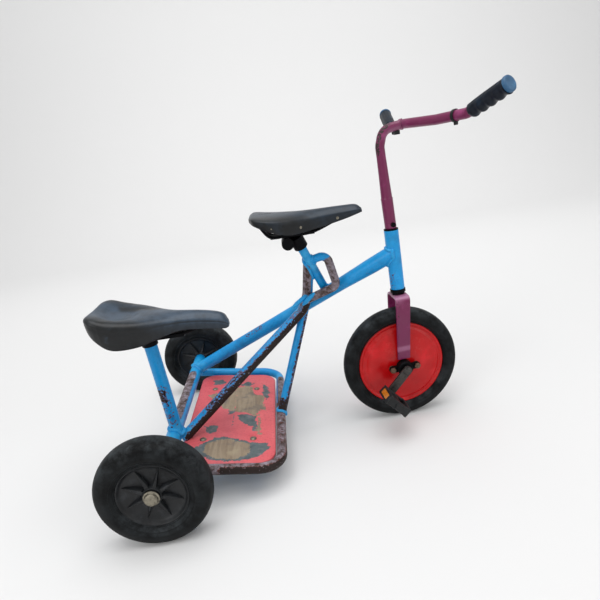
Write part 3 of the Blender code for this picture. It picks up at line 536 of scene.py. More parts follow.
def worn_metal(name, colour_in, dark, rust, rust_amount, roughness):
    made, tree, shader = finish(name)
    lighter = tuple(min(1.0, 1.4 * c) for c in rgba(colour_in)[:3])
    body = mottled(tree, colour_in, dark, lighter, 180.0, 0.8)
    rusted = torn_mask(tree, rust_amount, 320.0, 1.1)
    lines = scratched(tree, 0.35, 160.0)
    colour_out = mixed(tree, rusted, mixed(tree, times(tree, lines, 0.3), body, dark), rust)
    metallic = sums(tree, "SUBTRACT", 0.95, times(tree, rusted, 0.9))
    dull = sums(tree, "MULTIPLY_ADD", noise(tree, 300.0, 3.0), 0.2,
                between(tree, rusted, 0.0, 1.0, roughness, 0.75))
    height = sums(tree, "ADD", times(tree, noise(tree, 700.0), 0.4), rusted)
    surface(tree, shader, height, 0.3, 0.0002, Base_Color=colour_out, Metallic=metallic, Roughness=dull)
    return made


def amber_lens(paint):
    # Emission gives the lens a faint painted glow.
    made, tree, shader = finish("amber_lens", IOR=1.49, Coat_Weight=0.6, Coat_Roughness=0.08,
                                Emission_Strength=0.12)
    prisms = put(tree, "ShaderNodeTexVoronoi", {
        "Vector": object_coords(tree), "Scale": 620.0, "Randomness": 0.0}).outputs["Distance"]
    glowing_amber = mixed(tree, between(tree, prisms, 0.1, 0.6), paint.amber, "A85A08")
    colour_out = effect(tree, "dust", Color=glowing_amber, Dust="8C7A50", Amount=0.25, Scale=90.0,
                        Roughness=0.22)
    surface(tree, shader, prisms, 0.6, 0.0006, Base_Color=colour_out["Color"],
            Roughness=colour_out["Roughness"], Emission_Color=glowing_amber)
    return made


def studio_paper(paint):
    made, tree, shader = finish("studio_paper", Specular_IOR_Level=0.05)
    drift = mottled(tree, paint.backdrop, paint.backdrop, paint.backdrop, 2.0, 0.1)
    surface(tree, shader, noise(tree, 40.0), 0.02, 0.0005, Base_Color=drift,
            Roughness=between(tree, noise(tree, 8.0), 0.0, 1.0, 0.85, 0.95))
    return made


FINISHES = {}


def build_finishes(paint):
    build_effects()
    FINISHES.update({
        "blue": blue_enamel(paint),
        "magenta": magenta_enamel(paint),
        "tyre": tyre_rubber(paint),
        "rim": moulded("moulded_rim", paint.rim, "2A2D31", 0.4, paint.dust, 0.16,
                       IOR=1.5, Specular_IOR_Level=0.35),
        "grip": moulded("grip_rubber", paint.grip, "06233A", 0.42, "3A6078", 0.06,
                        grain_scale=1500.0, IOR=1.5, Specular_IOR_Level=0.25),
        "grip_end": moulded("grip_end_rubber", "24567C", "3F7AA6", 0.45,
                            "6F8CA4", 0.25, grain_scale=1500.0, IOR=1.5),
        "black_plastic": moulded("black_plastic", "090B0D", "23282C", 0.45,
                                 paint.dust, 0.18, IOR=1.5, Specular_IOR_Level=0.35),
        # The third value of each saddle is its lighter crown colour, used for painted sheen as well as for
        # mottle.
        "front_saddle": saddle_cover("front_saddle_shell", paint, "253443", 0.36, 1300.0, 0.11,
                                     IOR=1.5, Specular_IOR_Level=0.34),
        "rear_saddle": saddle_cover("rear_saddle_vinyl", paint, "3C4D5F", 0.36, 1100.0, 0.13,
                                    IOR=1.5, Specular_IOR_Level=0.4),
        "board": board_paint(paint),
        "red": red_plastic(paint),
        "amber": amber_lens(paint),
        "zinc": worn_metal("tarnished_zinc", "8C8678", "5A554A", "5A3A22", 0.22, 0.4),
        "rusty_nut": worn_metal("rusty_nut", "75685A", "3E332A", "6B4028", 0.46, 0.5),
        "black_metal": worn_metal("black_metal", "161618", "151516", "40281C", 0.2, 0.5),
        "crank_steel": worn_metal("crank_steel", "4E4B49", "2C2A2A", "4A3428", 0.22, 0.45),
        "paper": studio_paper(paint),
    })


# Shape building.


def arc_corner(before, corner, after, radius, steps):
    """The points of an arc that rounds one corner of a line."""
    arm_in, arm_out = (before - corner).normalized(), (after - corner).normalized()
    half = arm_in.angle(arm_out) / 2
    if half > math.radians(89.5) or radius < 1e-6:
        return [corner.copy()]
    centre = corner + (arm_in + arm_out).normalized() * radius / math.sin(half)
    start = corner + arm_in * radius / math.tan(half) - centre
    end = corner + arm_out * radius / math.tan(half) - centre
    sweep = start.angle(end)
    return [centre + (start * math.sin((1 - t) * sweep) + end * math.sin(t * sweep)) / math.sin(sweep)
            for t in (step / steps for step in range(steps + 1))]


def rounded(points, radius, steps=8, closed=False):
    """A line with its corners turned into arcs; radius is one number or one for each corner."""
    points = [Vector(p) for p in points]
    count = len(points)
    corners = range(count) if closed else range(1, count - 1)
    radii = dict(zip(corners, radius)) if isinstance(radius, (list, tuple)) else None
    line = [] if closed else [points[0]]
    for i in corners:
        line += arc_corner(points[i - 1], points[i], points[(i + 1) % count],
                           radii[i] if radii else radius, steps)
    return line if closed else line + [points[-1]]


def smooth_line(points, steps=8):
    """A Catmull-Rom curve through the points."""
    points = [Vector(p) for p in points]
    padded = [2 * points[0] - points[1], *points, 2 * points[-1] - points[-2]]
    line = []
    for a, b, c, d in zip(padded, padded[1:], padded[2:], padded[3:]):
        for step in range(steps):
            t = step / steps
            line.append(0.5 * (2 * b + (c - a) * t + (2 * a - 5 * b + 4 * c - d) * t * t
                               + (3 * b - a - 3 * c + d) * t ** 3))
    return line + [points[-1]]


def filled(points, spacing, closed=False):
    """The line with more points along each of its straight runs."""
    points = [Vector(p) for p in points]
    line = []
    for a, b in zip(points, points[1:] + (points[:1] if closed else [])):
        steps = max(1, round((b - a).length / spacing))
        line += [a.lerp(b, i / steps) for i in range(steps)]
    return line if closed else line + [points[-1]]


def mesh_from(vertices, faces, name="shape"):
    made = bpy.data.meshes.new(name)
    made.from_pydata([tuple(v) for v in vertices], [], faces)
    made.update()
    return made


MERGE = 1e-6


def tidied(mesh):
    """Merges doubled points, drops empty faces and turns every face outwards."""
    shape = bmesh.new()
    shape.from_mesh(mesh)
    bmesh.ops.remove_doubles(shape, verts=shape.verts, dist=MERGE)
    bmesh.ops.dissolve_degenerate(shape, edges=shape.edges, dist=MERGE)
    bmesh.ops.recalc_face_normals(shape, faces=shape.faces)
    shape.to_mesh(mesh)
    shape.free()
    mesh.update()
    return mesh


def lofted(rings):
    """Faces between rings of equal length, with a fan over each end."""
    size = len(rings[0])
    vertices = [point for ring in rings for point in ring]
    faces = []
    for r in range(len(rings) - 1):
        for i in range(size):
            j = (i + 1) % size
            faces.append((r * size + i, r * size + j, (r + 1) * size + j, (r + 1) * size + i))
    for r in (0, len(rings) - 1):
        hub = len(vertices)
        vertices.append(sum(rings[r], Vector()) / size)
        faces += [(hub, r * size + i, r * size + (i + 1) % size) for i in range(size)]
    return tidied(mesh_from(vertices, faces))


def lathe(profile, sides=96, place=Matrix.Identity(4)):
    """A closed (radius, along) outline turned about the local Y axis."""
    size = len(profile)
    points = []
    for step in range(sides):
        angle = 2 * math.pi * step / sides
        points += [Vector((p[0] * math.cos(angle), p[1], p[0] * math.sin(angle))) for p in profile]
    faces = []
    for r in range(sides):
        for i in range(size):
            j, s = (i + 1) % size, (r + 1) % sides
            faces.append((r * size + i, r * size + j, s * size + j, s * size + i))
    mesh = tidied(mesh_from(points, faces))
    mesh.transform(place)
    return mesh


def outline(points, radius, steps=4):
    """A closed (radius, along) outline with rounded corners, for turning."""
    return [(p.x, p.y) for p in rounded([(a, b, 0.0) for a, b in points], radius, steps, closed=True)]


def mesh_of(shape, place=Matrix.Identity(4)):
    made = bpy.data.meshes.new("shape")
    shape.to_mesh(made)
    shape.free()
    made.transform(place)
    return made


def joined(meshes):
    shape = bmesh.new()
    for mesh in meshes:
        shape.from_mesh(mesh)
    return mesh_of(shape)


def plate(points, thickness, bevel=0.0, place=Matrix.Identity(4), segments=3):
    """A flat closed outline in XY, raised along Z and rounded at its edges."""
    shape = bmesh.new()
    face = shape.faces.new([shape.verts.new((p[0], p[1], 0.0)) for p in points])
    raised = bmesh.ops.extrude_face_region(shape, geom=[face])
    top = [v for v in raised["geom"] if isinstance(v, bmesh.types.BMVert)]
    bmesh.ops.translate(shape, verts=top, vec=(0.0, 0.0, thickness))
    bmesh.ops.recalc_face_normals(shape, faces=shape.faces)
    if bevel:
        rims = [e for e in shape.edges if abs(e.verts[0].co.z - e.verts[1].co.z) < 1e-7]
        bmesh.ops.bevel(shape, geom=rims, offset=bevel, segments=segments, affect="EDGES", profile=0.5,
                        clamp_overlap=True)
    return mesh_of(shape, place)


def block(low, high, bevel=0.001, place=Matrix.Identity(4)):
    """A box with rounded edges between two corners."""
    (x0, y0, z0), (x1, y1, z1) = low, high
    corners = [(x0, y0), (x1, y0), (x1, y1), (x0, y1)]
    shape = bmesh.new()
    shape.from_mesh(plate(corners, z1 - z0, 0.0, Matrix.Translation((0.0, 0.0, z0))))
    bmesh.ops.bevel(shape, geom=shape.edges[:], offset=bevel, segments=3, affect="EDGES",
                    profile=0.5, clamp_overlap=True)
    return mesh_of(shape, place)


def box_outline(left, right, low, high, radius, steps):
    return outline([(left, low), (right, low), (right, high), (left, high)], radius, steps)


def aim(at, along):
    """A place whose Y axis points along a direction."""
    return Matrix.Translation(at) @ Vector(along).to_track_quat("Y", "Z").to_matrix().to_4x4()


# Geometry node trees.


def node_tree(name, inputs):
    tree = bpy.data.node_groups.new(name, "GeometryNodeTree")
    for label, kind, default in inputs:
        socket = tree.interface.new_socket(label, in_out="INPUT", socket_type="NodeSocket" + kind)
        if default is not None:
            socket.default_value = default
    tree.interface.new_socket("Geometry", in_out="OUTPUT", socket_type="NodeSocketGeometry")
    return tree, tree.nodes.new("NodeGroupInput").outputs, tree.nodes.new("NodeGroupOutput").inputs


def finished_output(tree, shape, given, out):
    """Realizes the copies, smooths them and sets their finish."""
    real = put(tree, "GeometryNodeRealizeInstances", {0: shape}).outputs[0]
    smooth = put(tree, "GeometryNodeSetShadeSmooth", {0: real}).outputs[0]
    done = put(tree, "GeometryNodeSetMaterial", {"Geometry": smooth, "Material": given["Finish"]})
    tree.links.new(done.outputs[0], out["Geometry"])


def path_tree():
    """A round bar swept along a line of points, with a girth at each and ripples if asked."""
    tree, given, out = node_tree("bar_on_path", [
        ("Path", "Geometry", None), ("Sides", "Int", 32), ("Spacing", "Float", 0.003),
        ("Ripple", "Float", 0.0), ("Ripple Length", "Float", 0.003), ("Finish", "Material", None)])
    curve = put(tree, "GeometryNodeMeshToCurve", {"Mesh": given["Path"]}).outputs[0]
    even = put(tree, "GeometryNodeResampleCurve", {"Curve": curve, "Length": given["Spacing"]},
               mode="LENGTH")
    girth = put(tree, "GeometryNodeInputNamedAttribute", {"Name": "girth"}, data_type="FLOAT")
    run = put(tree, "GeometryNodeSplineParameter").outputs["Length"]
    wave = sums(tree, "SINE", sums(tree, "MULTIPLY", 6.2832,
                                   sums(tree, "DIVIDE", run, given["Ripple Length"])))
    swell = sums(tree, "MULTIPLY_ADD", wave, given["Ripple"], 1.0)
    scale = sums(tree, "MULTIPLY", girth.outputs["Attribute"], swell)
    ring = put(tree, "GeometryNodeCurvePrimitiveCircle",
               {"Resolution": given["Sides"], "Radius": 1.0}).outputs["Curve"]
    bar = put(tree, "GeometryNodeCurveToMesh", {"Curve": even.outputs[0], "Profile Curve": ring,
                                               "Scale": scale, "Fill Caps": True}).outputs[0]
    finished_output(tree, bar, given, out)
    return tree


def ring_tree():
    """Copies of a shape turned about the Y axis."""
    tree, given, out = node_tree("copies_round_axis", [
        ("Shape", "Geometry", None), ("Count", "Int", 8), ("Start Angle", "Float", 0.0),
        ("Finish", "Material", None)])
    spots = put(tree, "GeometryNodePoints", {"Count": given["Count"]}).outputs[0]
    index = put(tree, "GeometryNodeInputIndex").outputs[0]
    step = sums(tree, "DIVIDE", 6.283185, given["Count"])
    angle = sums(tree, "MULTIPLY_ADD", index, step, given["Start Angle"])
    euler = put(tree, "ShaderNodeCombineXYZ", {"Y": angle}).outputs[0]
    spin = put(tree, "FunctionNodeEulerToRotation", {0: euler}).outputs[0]
    copies = put(tree, "GeometryNodeInstanceOnPoints",
                 {"Points": spots, "Instance": given["Shape"], "Rotation": spin}).outputs[0]
    finished_output(tree, copies, given, out)
    return tree


def studs_tree():
    """Copies of a shape on points, each with its Y axis along that point's facing."""
    tree, given, out = node_tree("studs_on_points", [
        ("Points", "Geometry", None), ("Stud", "Object", None), ("Finish", "Material", None)])
    facing = put(tree, "GeometryNodeInputNamedAttribute", {"Name": "facing"},
                 data_type="FLOAT_VECTOR").outputs["Attribute"]
    lie = put(tree, "FunctionNodeAlignRotationToVector", {"Vector": facing}, axis="Y").outputs[0]
    stud = put(tree, "GeometryNodeObjectInfo", {"Object": given["Stud"]}).outputs["Geometry"]
    copies = put(tree, "GeometryNodeInstanceOnPoints",
                 {"Points": given["Points"], "Instance": stud, "Rotation": lie}).outputs[0]
    finished_output(tree, copies, given, out)
    return tree


TREES = {}


def build_trees():
    TREES.update(path=path_tree(), ring=ring_tree(), studs=studs_tree())


def grown(mesh, tree_name, **values):
    """The mesh that a geometry node tree makes from a starting mesh."""
    host = bpy.data.objects.new("growing", mesh)
    bpy.context.scene.collection.objects.link(host)
    tree = TREES[tree_name]
    growth = host.modifiers.new("growth", "NODES")
    growth.node_group = tree
    for item in tree.interface.items_tree:
        label = item.name.replace(" ", "_")
        if item.in_out == "INPUT" and label in values:
            growth[item.identifier] = values[label]
    bpy.context.view_layer.update()
    evaluated = host.evaluated_get(bpy.context.evaluated_depsgraph_get())
    made = bpy.data.meshes.new_from_object(evaluated)
    host.modifiers.remove(growth)
    bpy.data.objects.remove(host)
    return made


def bar_mesh(route, girths, finish_name, sides=32, spacing=0.003, ripple=0.0, ripple_length=0.003,
             loop=False):
    """A round bar along a route; girths are (share of the length, radius) pairs or one radius."""
    path = bpy.data.meshes.new("path")
    route = filled(route, spacing * 2, loop)
    edges = [(i, i + 1) for i in range(len(route) - 1)] + ([(len(route) - 1, 0)] if loop else [])
    path.from_pydata([tuple(p) for p in route], edges, [])
    runs = np.cumsum([0.0] + [(b - a).length for a, b in zip(route, route[1:])])
    if isinstance(girths, (int, float)):
        radii = np.full(len(route), girths)
    else:
        radii = np.interp(runs / runs[-1], [g[0] for g in girths], [g[1] for g in girths])
    path.attributes.new("girth", "FLOAT", "POINT").data.foreach_set("value", radii.astype(np.float32))
    return grown(path, "path", Sides=sides, Spacing=spacing, Ripple=ripple,
                 Ripple_Length=ripple_length, Finish=FINISHES[finish_name])


def stud_mesh(stud, points, facings, finish_name):
    """One stud shape repeated on points."""
    host = bpy.data.meshes.new("points")
    host.from_pydata([tuple(p) for p in points], [], [])
    host.attributes.new("facing", "FLOAT_VECTOR", "POINT").data.foreach_set(
        "vector", np.array([tuple(f) for f in facings], np.float32).ravel())
    pattern = bpy.data.objects.new("stud_pattern", stud)
    bpy.context.scene.collection.objects.link(pattern)
    made = grown(host, "studs", Stud=pattern, Finish=FINISHES[finish_name])
    bpy.data.objects.remove(pattern)
    return made


# Pieces.


def wear_at(points, normals, places):
    """How worn each point is, and where painted highlight, sheen and shade go: a red, green and blue level
    from capsules of wear.

    A place is (channel, start, end, reach, strength, side): side is None or the direction that
    the worn face looks in."""
    levels = np.zeros((len(points), 4), np.float32)
    levels[:, 3] = 1.0
    for channel, start, end, reach, strength, side in places:
        start, end = np.array(start), np.array(end)
        run = end - start
        share = np.clip(((points - start) @ run) / max(run @ run, 1e-12), 0, 1)
        away = np.linalg.norm(points - start - share[:, None] * run, axis=1)
        fall = np.clip(1.0 - away / reach, 0, 1)
        fall = np.clip(fall * 2.0, 0, 1)
        if side is not None:
            side = np.array(side) / np.linalg.norm(side)
            fall = fall * np.clip(0.5 + 1.3 * (normals @ side), 0, 1)
        levels[:, channel] = np.maximum(levels[:, channel], strength * fall)
    return levels


def store_wear(mesh, levels):
    layer = mesh.attributes.get("wear") or mesh.attributes.new("wear", "FLOAT_COLOR", "POINT")
    layer.data.foreach_set("color", levels.astype(np.float32).ravel())


def points_and_normals(mesh):
    count = len(mesh.vertices)
    points, normals = np.empty(count * 3), np.empty(count * 3)
    mesh.vertices.foreach_get("co", points)
    mesh.vertex_normals.foreach_get("vector", normals)
    return points.reshape(-1, 3), normals.reshape(-1, 3)


def piece(name, mesh, body, finish_name, replaces=(), wear=None, sharp=None):
    """Links a finished mesh at the origin and says what it rides on and stands for."""
    mesh.name = name
    mesh.materials.clear()
    mesh.materials.append(FINISHES[finish_name])
    mesh.shade_smooth()
    if sharp is not None:
        mesh.set_sharp_from_angle(angle=math.radians(sharp))
    if wear is not None:
        store_wear(mesh, wear_at(*points_and_normals(mesh), wear))
    made = bpy.data.objects.new(name, mesh)
    bpy.context.scene.collection.objects.link(made)
    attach(made, body)
    if replaces:
        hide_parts(*replaces)
    return made


def dress(node, finish_name):
    """Gives a fixed frame node its finish."""
    slots = frame["nodes"][node].data.materials
    slots.clear()
    slots.append(FINISHES[finish_name])


def shaped(mesh, levels=0, cutter=None):
    """The mesh after a cut or a subdivision."""
    host = bpy.data.objects.new("shaping", mesh)
    bpy.context.scene.collection.objects.link(host)
    tool = None
    if cutter is not None:
        tool = bpy.data.objects.new("cutter", cutter)
        bpy.context.scene.collection.objects.link(tool)
        boolean = host.modifiers.new("cut", "BOOLEAN")
        boolean.object = tool
        boolean.solver = "EXACT"
    if levels:
        smooth = host.modifiers.new("smooth", "SUBSURF")
        smooth.levels = smooth.render_levels = levels
    bpy.context.view_layer.update()
    made = bpy.data.meshes.new_from_object(host.evaluated_get(bpy.context.evaluated_depsgraph_get()))
    for used in (host, tool):
        if used is not None:
            bpy.data.objects.remove(used)
    return made


# Welded tube frame.


def platform_z(x):
    """The height of the sloping platform's plane."""
    return PLATFORM_HEIGHT - PLATFORM_DROP * x


MAIN_ROUTE = [frame_point(0.506, 0.0, 0.3792), frame_point(0.0, 0.195, 0.1)]
STAY_ROUTE = rounded([frame_point(0.016, -0.1055, 0.0842), frame_point(0.302, 0.053, 0.269),
                      frame_point(0.315, 0.049, 0.305), frame_point(0.3262, 0.0215, 0.385)],
                     0.03, 8)
SEAT_ROUTE = [frame_point(0.359, 0.052, 0.3), frame_point(0.306, -0.0045, 0.442)]
LOOP_ROUTE = rounded([frame_point(0.312, 0.041, 0.2925), frame_point(0.38, 0.017, 0.3215),
                      frame_point(0.365, 0.013, 0.3945), frame_point(0.3262, 0.02, 0.3838)],
                     0.0155, 12)
RISER_ROUTE = [frame_point(0.215, -0.011, 0.05), frame_point(0.305, 0.06, 0.27)]
POST_Y = -0.107
POST_ROUTE = [frame_point(0.007, POST_Y, 0.1), frame_point(-0.0022, POST_Y, 0.306)]
REAR_SEAT = ROOT @ Matrix.Translation((0.0, POST_Y, 0.0))
RAIL_HALF, RAIL_REAR, RAIL_FRONT = 0.209, 0.004, 0.214
RAIL_ROUTE = rounded([frame_point(x, y, platform_z(x)) for x, y in (
    (RAIL_REAR, RAIL_HALF), (RAIL_FRONT, RAIL_HALF), (RAIL_FRONT, -RAIL_HALF),
    (RAIL_REAR, -RAIL_HALF))], 0.046, 16)
AXLE_TUBE_HALF = 0.2615
AXLE_ROUTE = [frame_point(0.0, -AXLE_TUBE_HALF, 0.1), frame_point(0.0, AXLE_TUBE_HALF, 0.1)]
# Channels of the stored wear colour: bare primer, chips, and the lighter paint that is fresh paint on welds
# and painted highlight on upward and lit faces.
BARE, CHIPS, FRESH_AND_HIGHLIGHT = 0, 1, 2
BEND_STEPS = 6
UP, DOWN = Vector((0, 0, 1)), Vector((0, 0, -1))


def along(route, share):
    """The point at a share of a route's length."""
    runs = np.cumsum([0.0] + [(b - a).length for a, b in zip(route, route[1:])])
    target = share * runs[-1]
    return Vector([float(np.interp(target, runs, [p[i] for p in route])) for i in range(3)])


def placed(place, *rows):
    """Places of wear from rows whose start and end are given in a place's own axes."""
    return [(channel, place @ Vector(start), place @ Vector(end), *rest)
            for channel, start, end, *rest in rows]


def worn(route, *rows):
    """Places of wear from rows of (channel, from share, to share, reach, strength, side)."""
    return [(channel, along(route, start), along(route, end), *rest)
            for channel, start, end, *rest in rows]


def spread(channel, low, high, *rest):
    """Rows of wear along a bent stretch of a route."""
    marks = [low + (high - low) * i / BEND_STEPS for i in range(BEND_STEPS + 1)]
    return [(channel, a, b, *rest) for a, b in zip(marks, marks[1:])]


def joint_loop(tube_end, tube_far, tube_radius, host_start, host_end, host_radius):
    """The closed line in which a tube's surface meets the surface of the tube that it is welded to."""
    run = (tube_far - tube_end).normalized()
    host_run = (host_end - host_start).normalized()
    side = run.orthogonal().normalized()
    other = run.cross(side)
    loop = []
    for angle in np.linspace(0.0, 2 * math.pi, 64, endpoint=False):
        start = tube_end + (side * math.cos(angle) + other * math.sin(angle)) * tube_radius
        flat_run = run - host_run * run.dot(host_run)
        gap = start - host_start
        flat_gap = gap - host_run * gap.dot(host_run)
        a = flat_run.length_squared
        b = 2 * flat_run.dot(flat_gap)
        c = flat_gap.length_squared - host_radius ** 2
        root = max(b * b - 4 * a * c, 0.0)
        loop.append(start + run * (-b + math.sqrt(root)) / (2 * a))
    return loop


def tube_specs(sizes):
    """Route, girths, sides and wear of each tube by its name, and the head tube's wear."""
    axle_wear = [
        (BARE, frame_point(0, -0.06, 0.1), frame_point(0, 0.128, 0.1), 0.04, 1.0, (-0.75, -0.1, 0.65)),
        (BARE, frame_point(0, -0.17, 0.1), frame_point(0, -0.255, 0.1), 0.03, 0.85, None),
        (CHIPS, *AXLE_ROUTE, 0.03, 0.22, None),
        (FRESH_AND_HIGHLIGHT, frame_point(0, -0.125, 0.1), frame_point(0, -0.085, 0.1), 0.035, 0.9, None),
        (FRESH_AND_HIGHLIGHT, frame_point(0, 0.16, 0.1), frame_point(0, 0.215, 0.1), 0.035, 0.8, None)]
    main_wear = worn(
        MAIN_ROUTE,
        (CHIPS, 0.55, 1.0, 0.03, 0.3, None),
        (CHIPS, 0.88, 0.9, 0.018, 0.7, (-0.2, -1.0, 0.4)),
        (CHIPS, 0.6, 0.68, 0.022, 0.66, UP),
        (CHIPS, 0.1, 0.12, 0.026, 0.45, DOWN),
        (BARE, 0.585, 0.6, 0.02, 0.55, UP),
        # Lighter blue on the top near the head: painted highlight.
        (FRESH_AND_HIGHLIGHT, 0.02, 0.1, 0.05, 0.22, UP),
        (FRESH_AND_HIGHLIGHT, 0.44, 0.47, 0.03, 0.5, (-0.1, -1.0, 0.3)),
        (FRESH_AND_HIGHLIGHT, 0.97, 1.0, 0.04, 0.8, None))
    stay_wear = worn(
        STAY_ROUTE,
        (BARE, 0.04, 0.8, 0.03, 0.98, (0.62, 0.1, -0.8)),
        (CHIPS, 0.02, 0.16, 0.026, 0.42, (-0.3, -0.7, 0.8)),
        (CHIPS, 0.16, 0.34, 0.026, 0.58, (-0.1, -0.9, 0.5)),
        (CHIPS, 0.34, 0.66, 0.026, 0.42, (0.0, -0.9, 0.5)),
        (CHIPS, 0.03, 0.78, 0.026, 1.0, (0.8, -0.3, -0.55)),
        (CHIPS, 0.1, 0.78, 0.026, 1.0, (0.6, 0.1, -0.8)),
        (BARE, 0.69, 0.745, 0.026, 0.42, (-0.4, -0.9, 0.2)),
        (FRESH_AND_HIGHLIGHT, 0.745, 0.8, 0.03, 1.0, None),
        (BARE, 0.8, 0.955, 0.026, 0.92, (-0.9, -0.6, 0.1)),
        (FRESH_AND_HIGHLIGHT, 0.97, 1.0, 0.026, 0.9, None),
        (FRESH_AND_HIGHLIGHT, 0.0, 0.02, 0.03, 0.9, None))
    loop_wear = worn(
        LOOP_ROUTE,
        *spread(BARE, 0.12, 0.7, 0.022, 1.0, None),
        (BARE, 0.02, 0.14, 0.026, 0.7, (0.4, -0.5, -0.8)),
        (FRESH_AND_HIGHLIGHT, 0.0, 0.1, 0.026, 1.0, None),
        (CHIPS, 0.0, 1.0, 0.026, 0.38, None))
    rail_wear = worn(
        RAIL_ROUTE,
        (BARE, 0.33, 0.46, 0.03, 1.0, (0.9, 0.3, 0.6)),
        (BARE, 0.5, 0.7, 0.04, 1.0, None),
        *spread(BARE, 0.7, 0.9, 0.03, 1.0, None),
        *spread(CHIPS, 0.69, 0.86, 0.03, 1.0, (0.4, -0.8, -0.5)),
        (BARE, 0.7, 1.0, 0.04, 1.0, DOWN),
        (CHIPS, 0.62, 1.0, 0.04, 0.85, (0.1, -0.8, -0.8)),
        (CHIPS, 0.0, 0.34, 0.03, 0.3, None),
        (CHIPS, 0.47, 0.66, 0.03, 0.45, None),
        # Lighter blue along the top of the far rail: painted highlight.
        (FRESH_AND_HIGHLIGHT, 0.02, 0.3, 0.03, 0.65, UP),
        (FRESH_AND_HIGHLIGHT, 0.48, 0.495, 0.03, 1.0, None))
    riser_wear = worn(
        RISER_ROUTE,
        (CHIPS, 0.0, 1.0, 0.025, 0.26, None),
        (CHIPS, 0.0, 0.9, 0.025, 0.62, (0.9, 0.1, -0.2)),
        (CHIPS, 0.05, 0.1, 0.022, 0.9, None),
        (FRESH_AND_HIGHLIGHT, 0.0, 0.02, 0.022, 1.0, None))
    post_wear = worn(
        POST_ROUTE,
        (CHIPS, 0.0, 1.0, 0.03, 0.14, None),
        (CHIPS, 0.12, 0.5, 0.032, 0.46, (-0.5, -0.8, 0)),
        (CHIPS, 0.42, 0.46, 0.026, 0.72, (-0.9, -0.5, 0)),
        (FRESH_AND_HIGHLIGHT, 0.0, 0.05, 0.03, 0.9, None))
    seat_wear = worn(
        SEAT_ROUTE,
        (CHIPS, 0.0, 1.0, 0.025, 0.25, None),
        (FRESH_AND_HIGHLIGHT, 0.55, 0.7, 0.025, 0.9, None))
    head_wear = placed(
        HEAD,
        (CHIPS, (0, 0, 0.008), (0, 0, 0.036), 0.026, 0.48, (-1.0, 0.0, 0)),
        # Lighter blue on the upper, lit side of the head tube: painted highlight.
        (FRESH_AND_HIGHLIGHT, (0, 0, 0.06), (0, 0, HEAD_LENGTH), 0.032, 0.25, (-0.55, -0.35, 0.75)))
    main = sizes.main_radius
    return {
        "rear_axle_tube": (AXLE_ROUTE, sizes.axle_radius, 48, axle_wear),
        "main_tube": (MAIN_ROUTE, [(0.0, main + 0.0032), (0.1, main + 0.0025), (0.22, main),
                                   (1.0, main)], 48, main_wear),
        "right_stay": (STAY_ROUTE, sizes.stay_radius, 40, stay_wear),
        "seat_tube": (SEAT_ROUTE, sizes.seat_radius, 40, seat_wear),
        "hand_loop": (LOOP_ROUTE, sizes.loop_radius, 40, loop_wear),
        "riser_tube": (RISER_ROUTE, sizes.riser_radius, 40, riser_wear),
        "platform_rail": (RAIL_ROUTE, sizes.rail_radius, 40, rail_wear),
        "rear_seat_post": (POST_ROUTE, sizes.post_radius, 40, post_wear),
    }, head_wear


def weld_loops(sizes):
    """Where each weld bead runs: name, closed line, and the bead's share of the full radius."""
    head = (HEAD @ Vector((0, 0, 0)), HEAD @ Vector((0, 0, 0.12)))
    front = [frame_point(RAIL_FRONT, y, platform_z(RAIL_FRONT)) for y in (0.1, -0.1)]
    stay, seat = sizes.stay_radius, sizes.seat_radius
    main, axle, rail = sizes.main_radius, sizes.axle_radius, sizes.rail_radius
    rows = (
        ("head_weld", MAIN_ROUTE, main + 0.003, head, sizes.head_radius, 1.0),
        ("main_axle_weld", MAIN_ROUTE[::-1], main, AXLE_ROUTE, axle, 1.3),
        ("stay_axle_weld", STAY_ROUTE, stay, AXLE_ROUTE, axle, 1.2),
        ("post_axle_weld", POST_ROUTE, sizes.post_radius, AXLE_ROUTE, axle, 1.4),
        ("seat_main_weld", SEAT_ROUTE, seat, MAIN_ROUTE, main + 0.0008, 0.8),
        ("stay_seat_weld", STAY_ROUTE[::-1], stay * 0.98, SEAT_ROUTE, seat + 0.0022, 0.8),
        ("loop_seat_weld", LOOP_ROUTE[::-1], sizes.loop_radius, SEAT_ROUTE, seat + 0.0004, 0.8),
        ("riser_rail_weld", RISER_ROUTE, sizes.riser_radius, front, rail + 0.0006, 1.0),
        ("riser_main_weld", RISER_ROUTE[::-1], sizes.riser_radius, MAIN_ROUTE, main, 0.8),
        ("left_rail_weld", RAIL_ROUTE, rail, AXLE_ROUTE, axle + 0.003, 1.1),
        ("right_rail_weld", RAIL_ROUTE[::-1], rail, AXLE_ROUTE, axle + 0.003, 1.1))
    return [(name, joint_loop(route[0], route[1], radius, *host, host_radius), share)
            for name, route, radius, host, host_radius, share in rows]


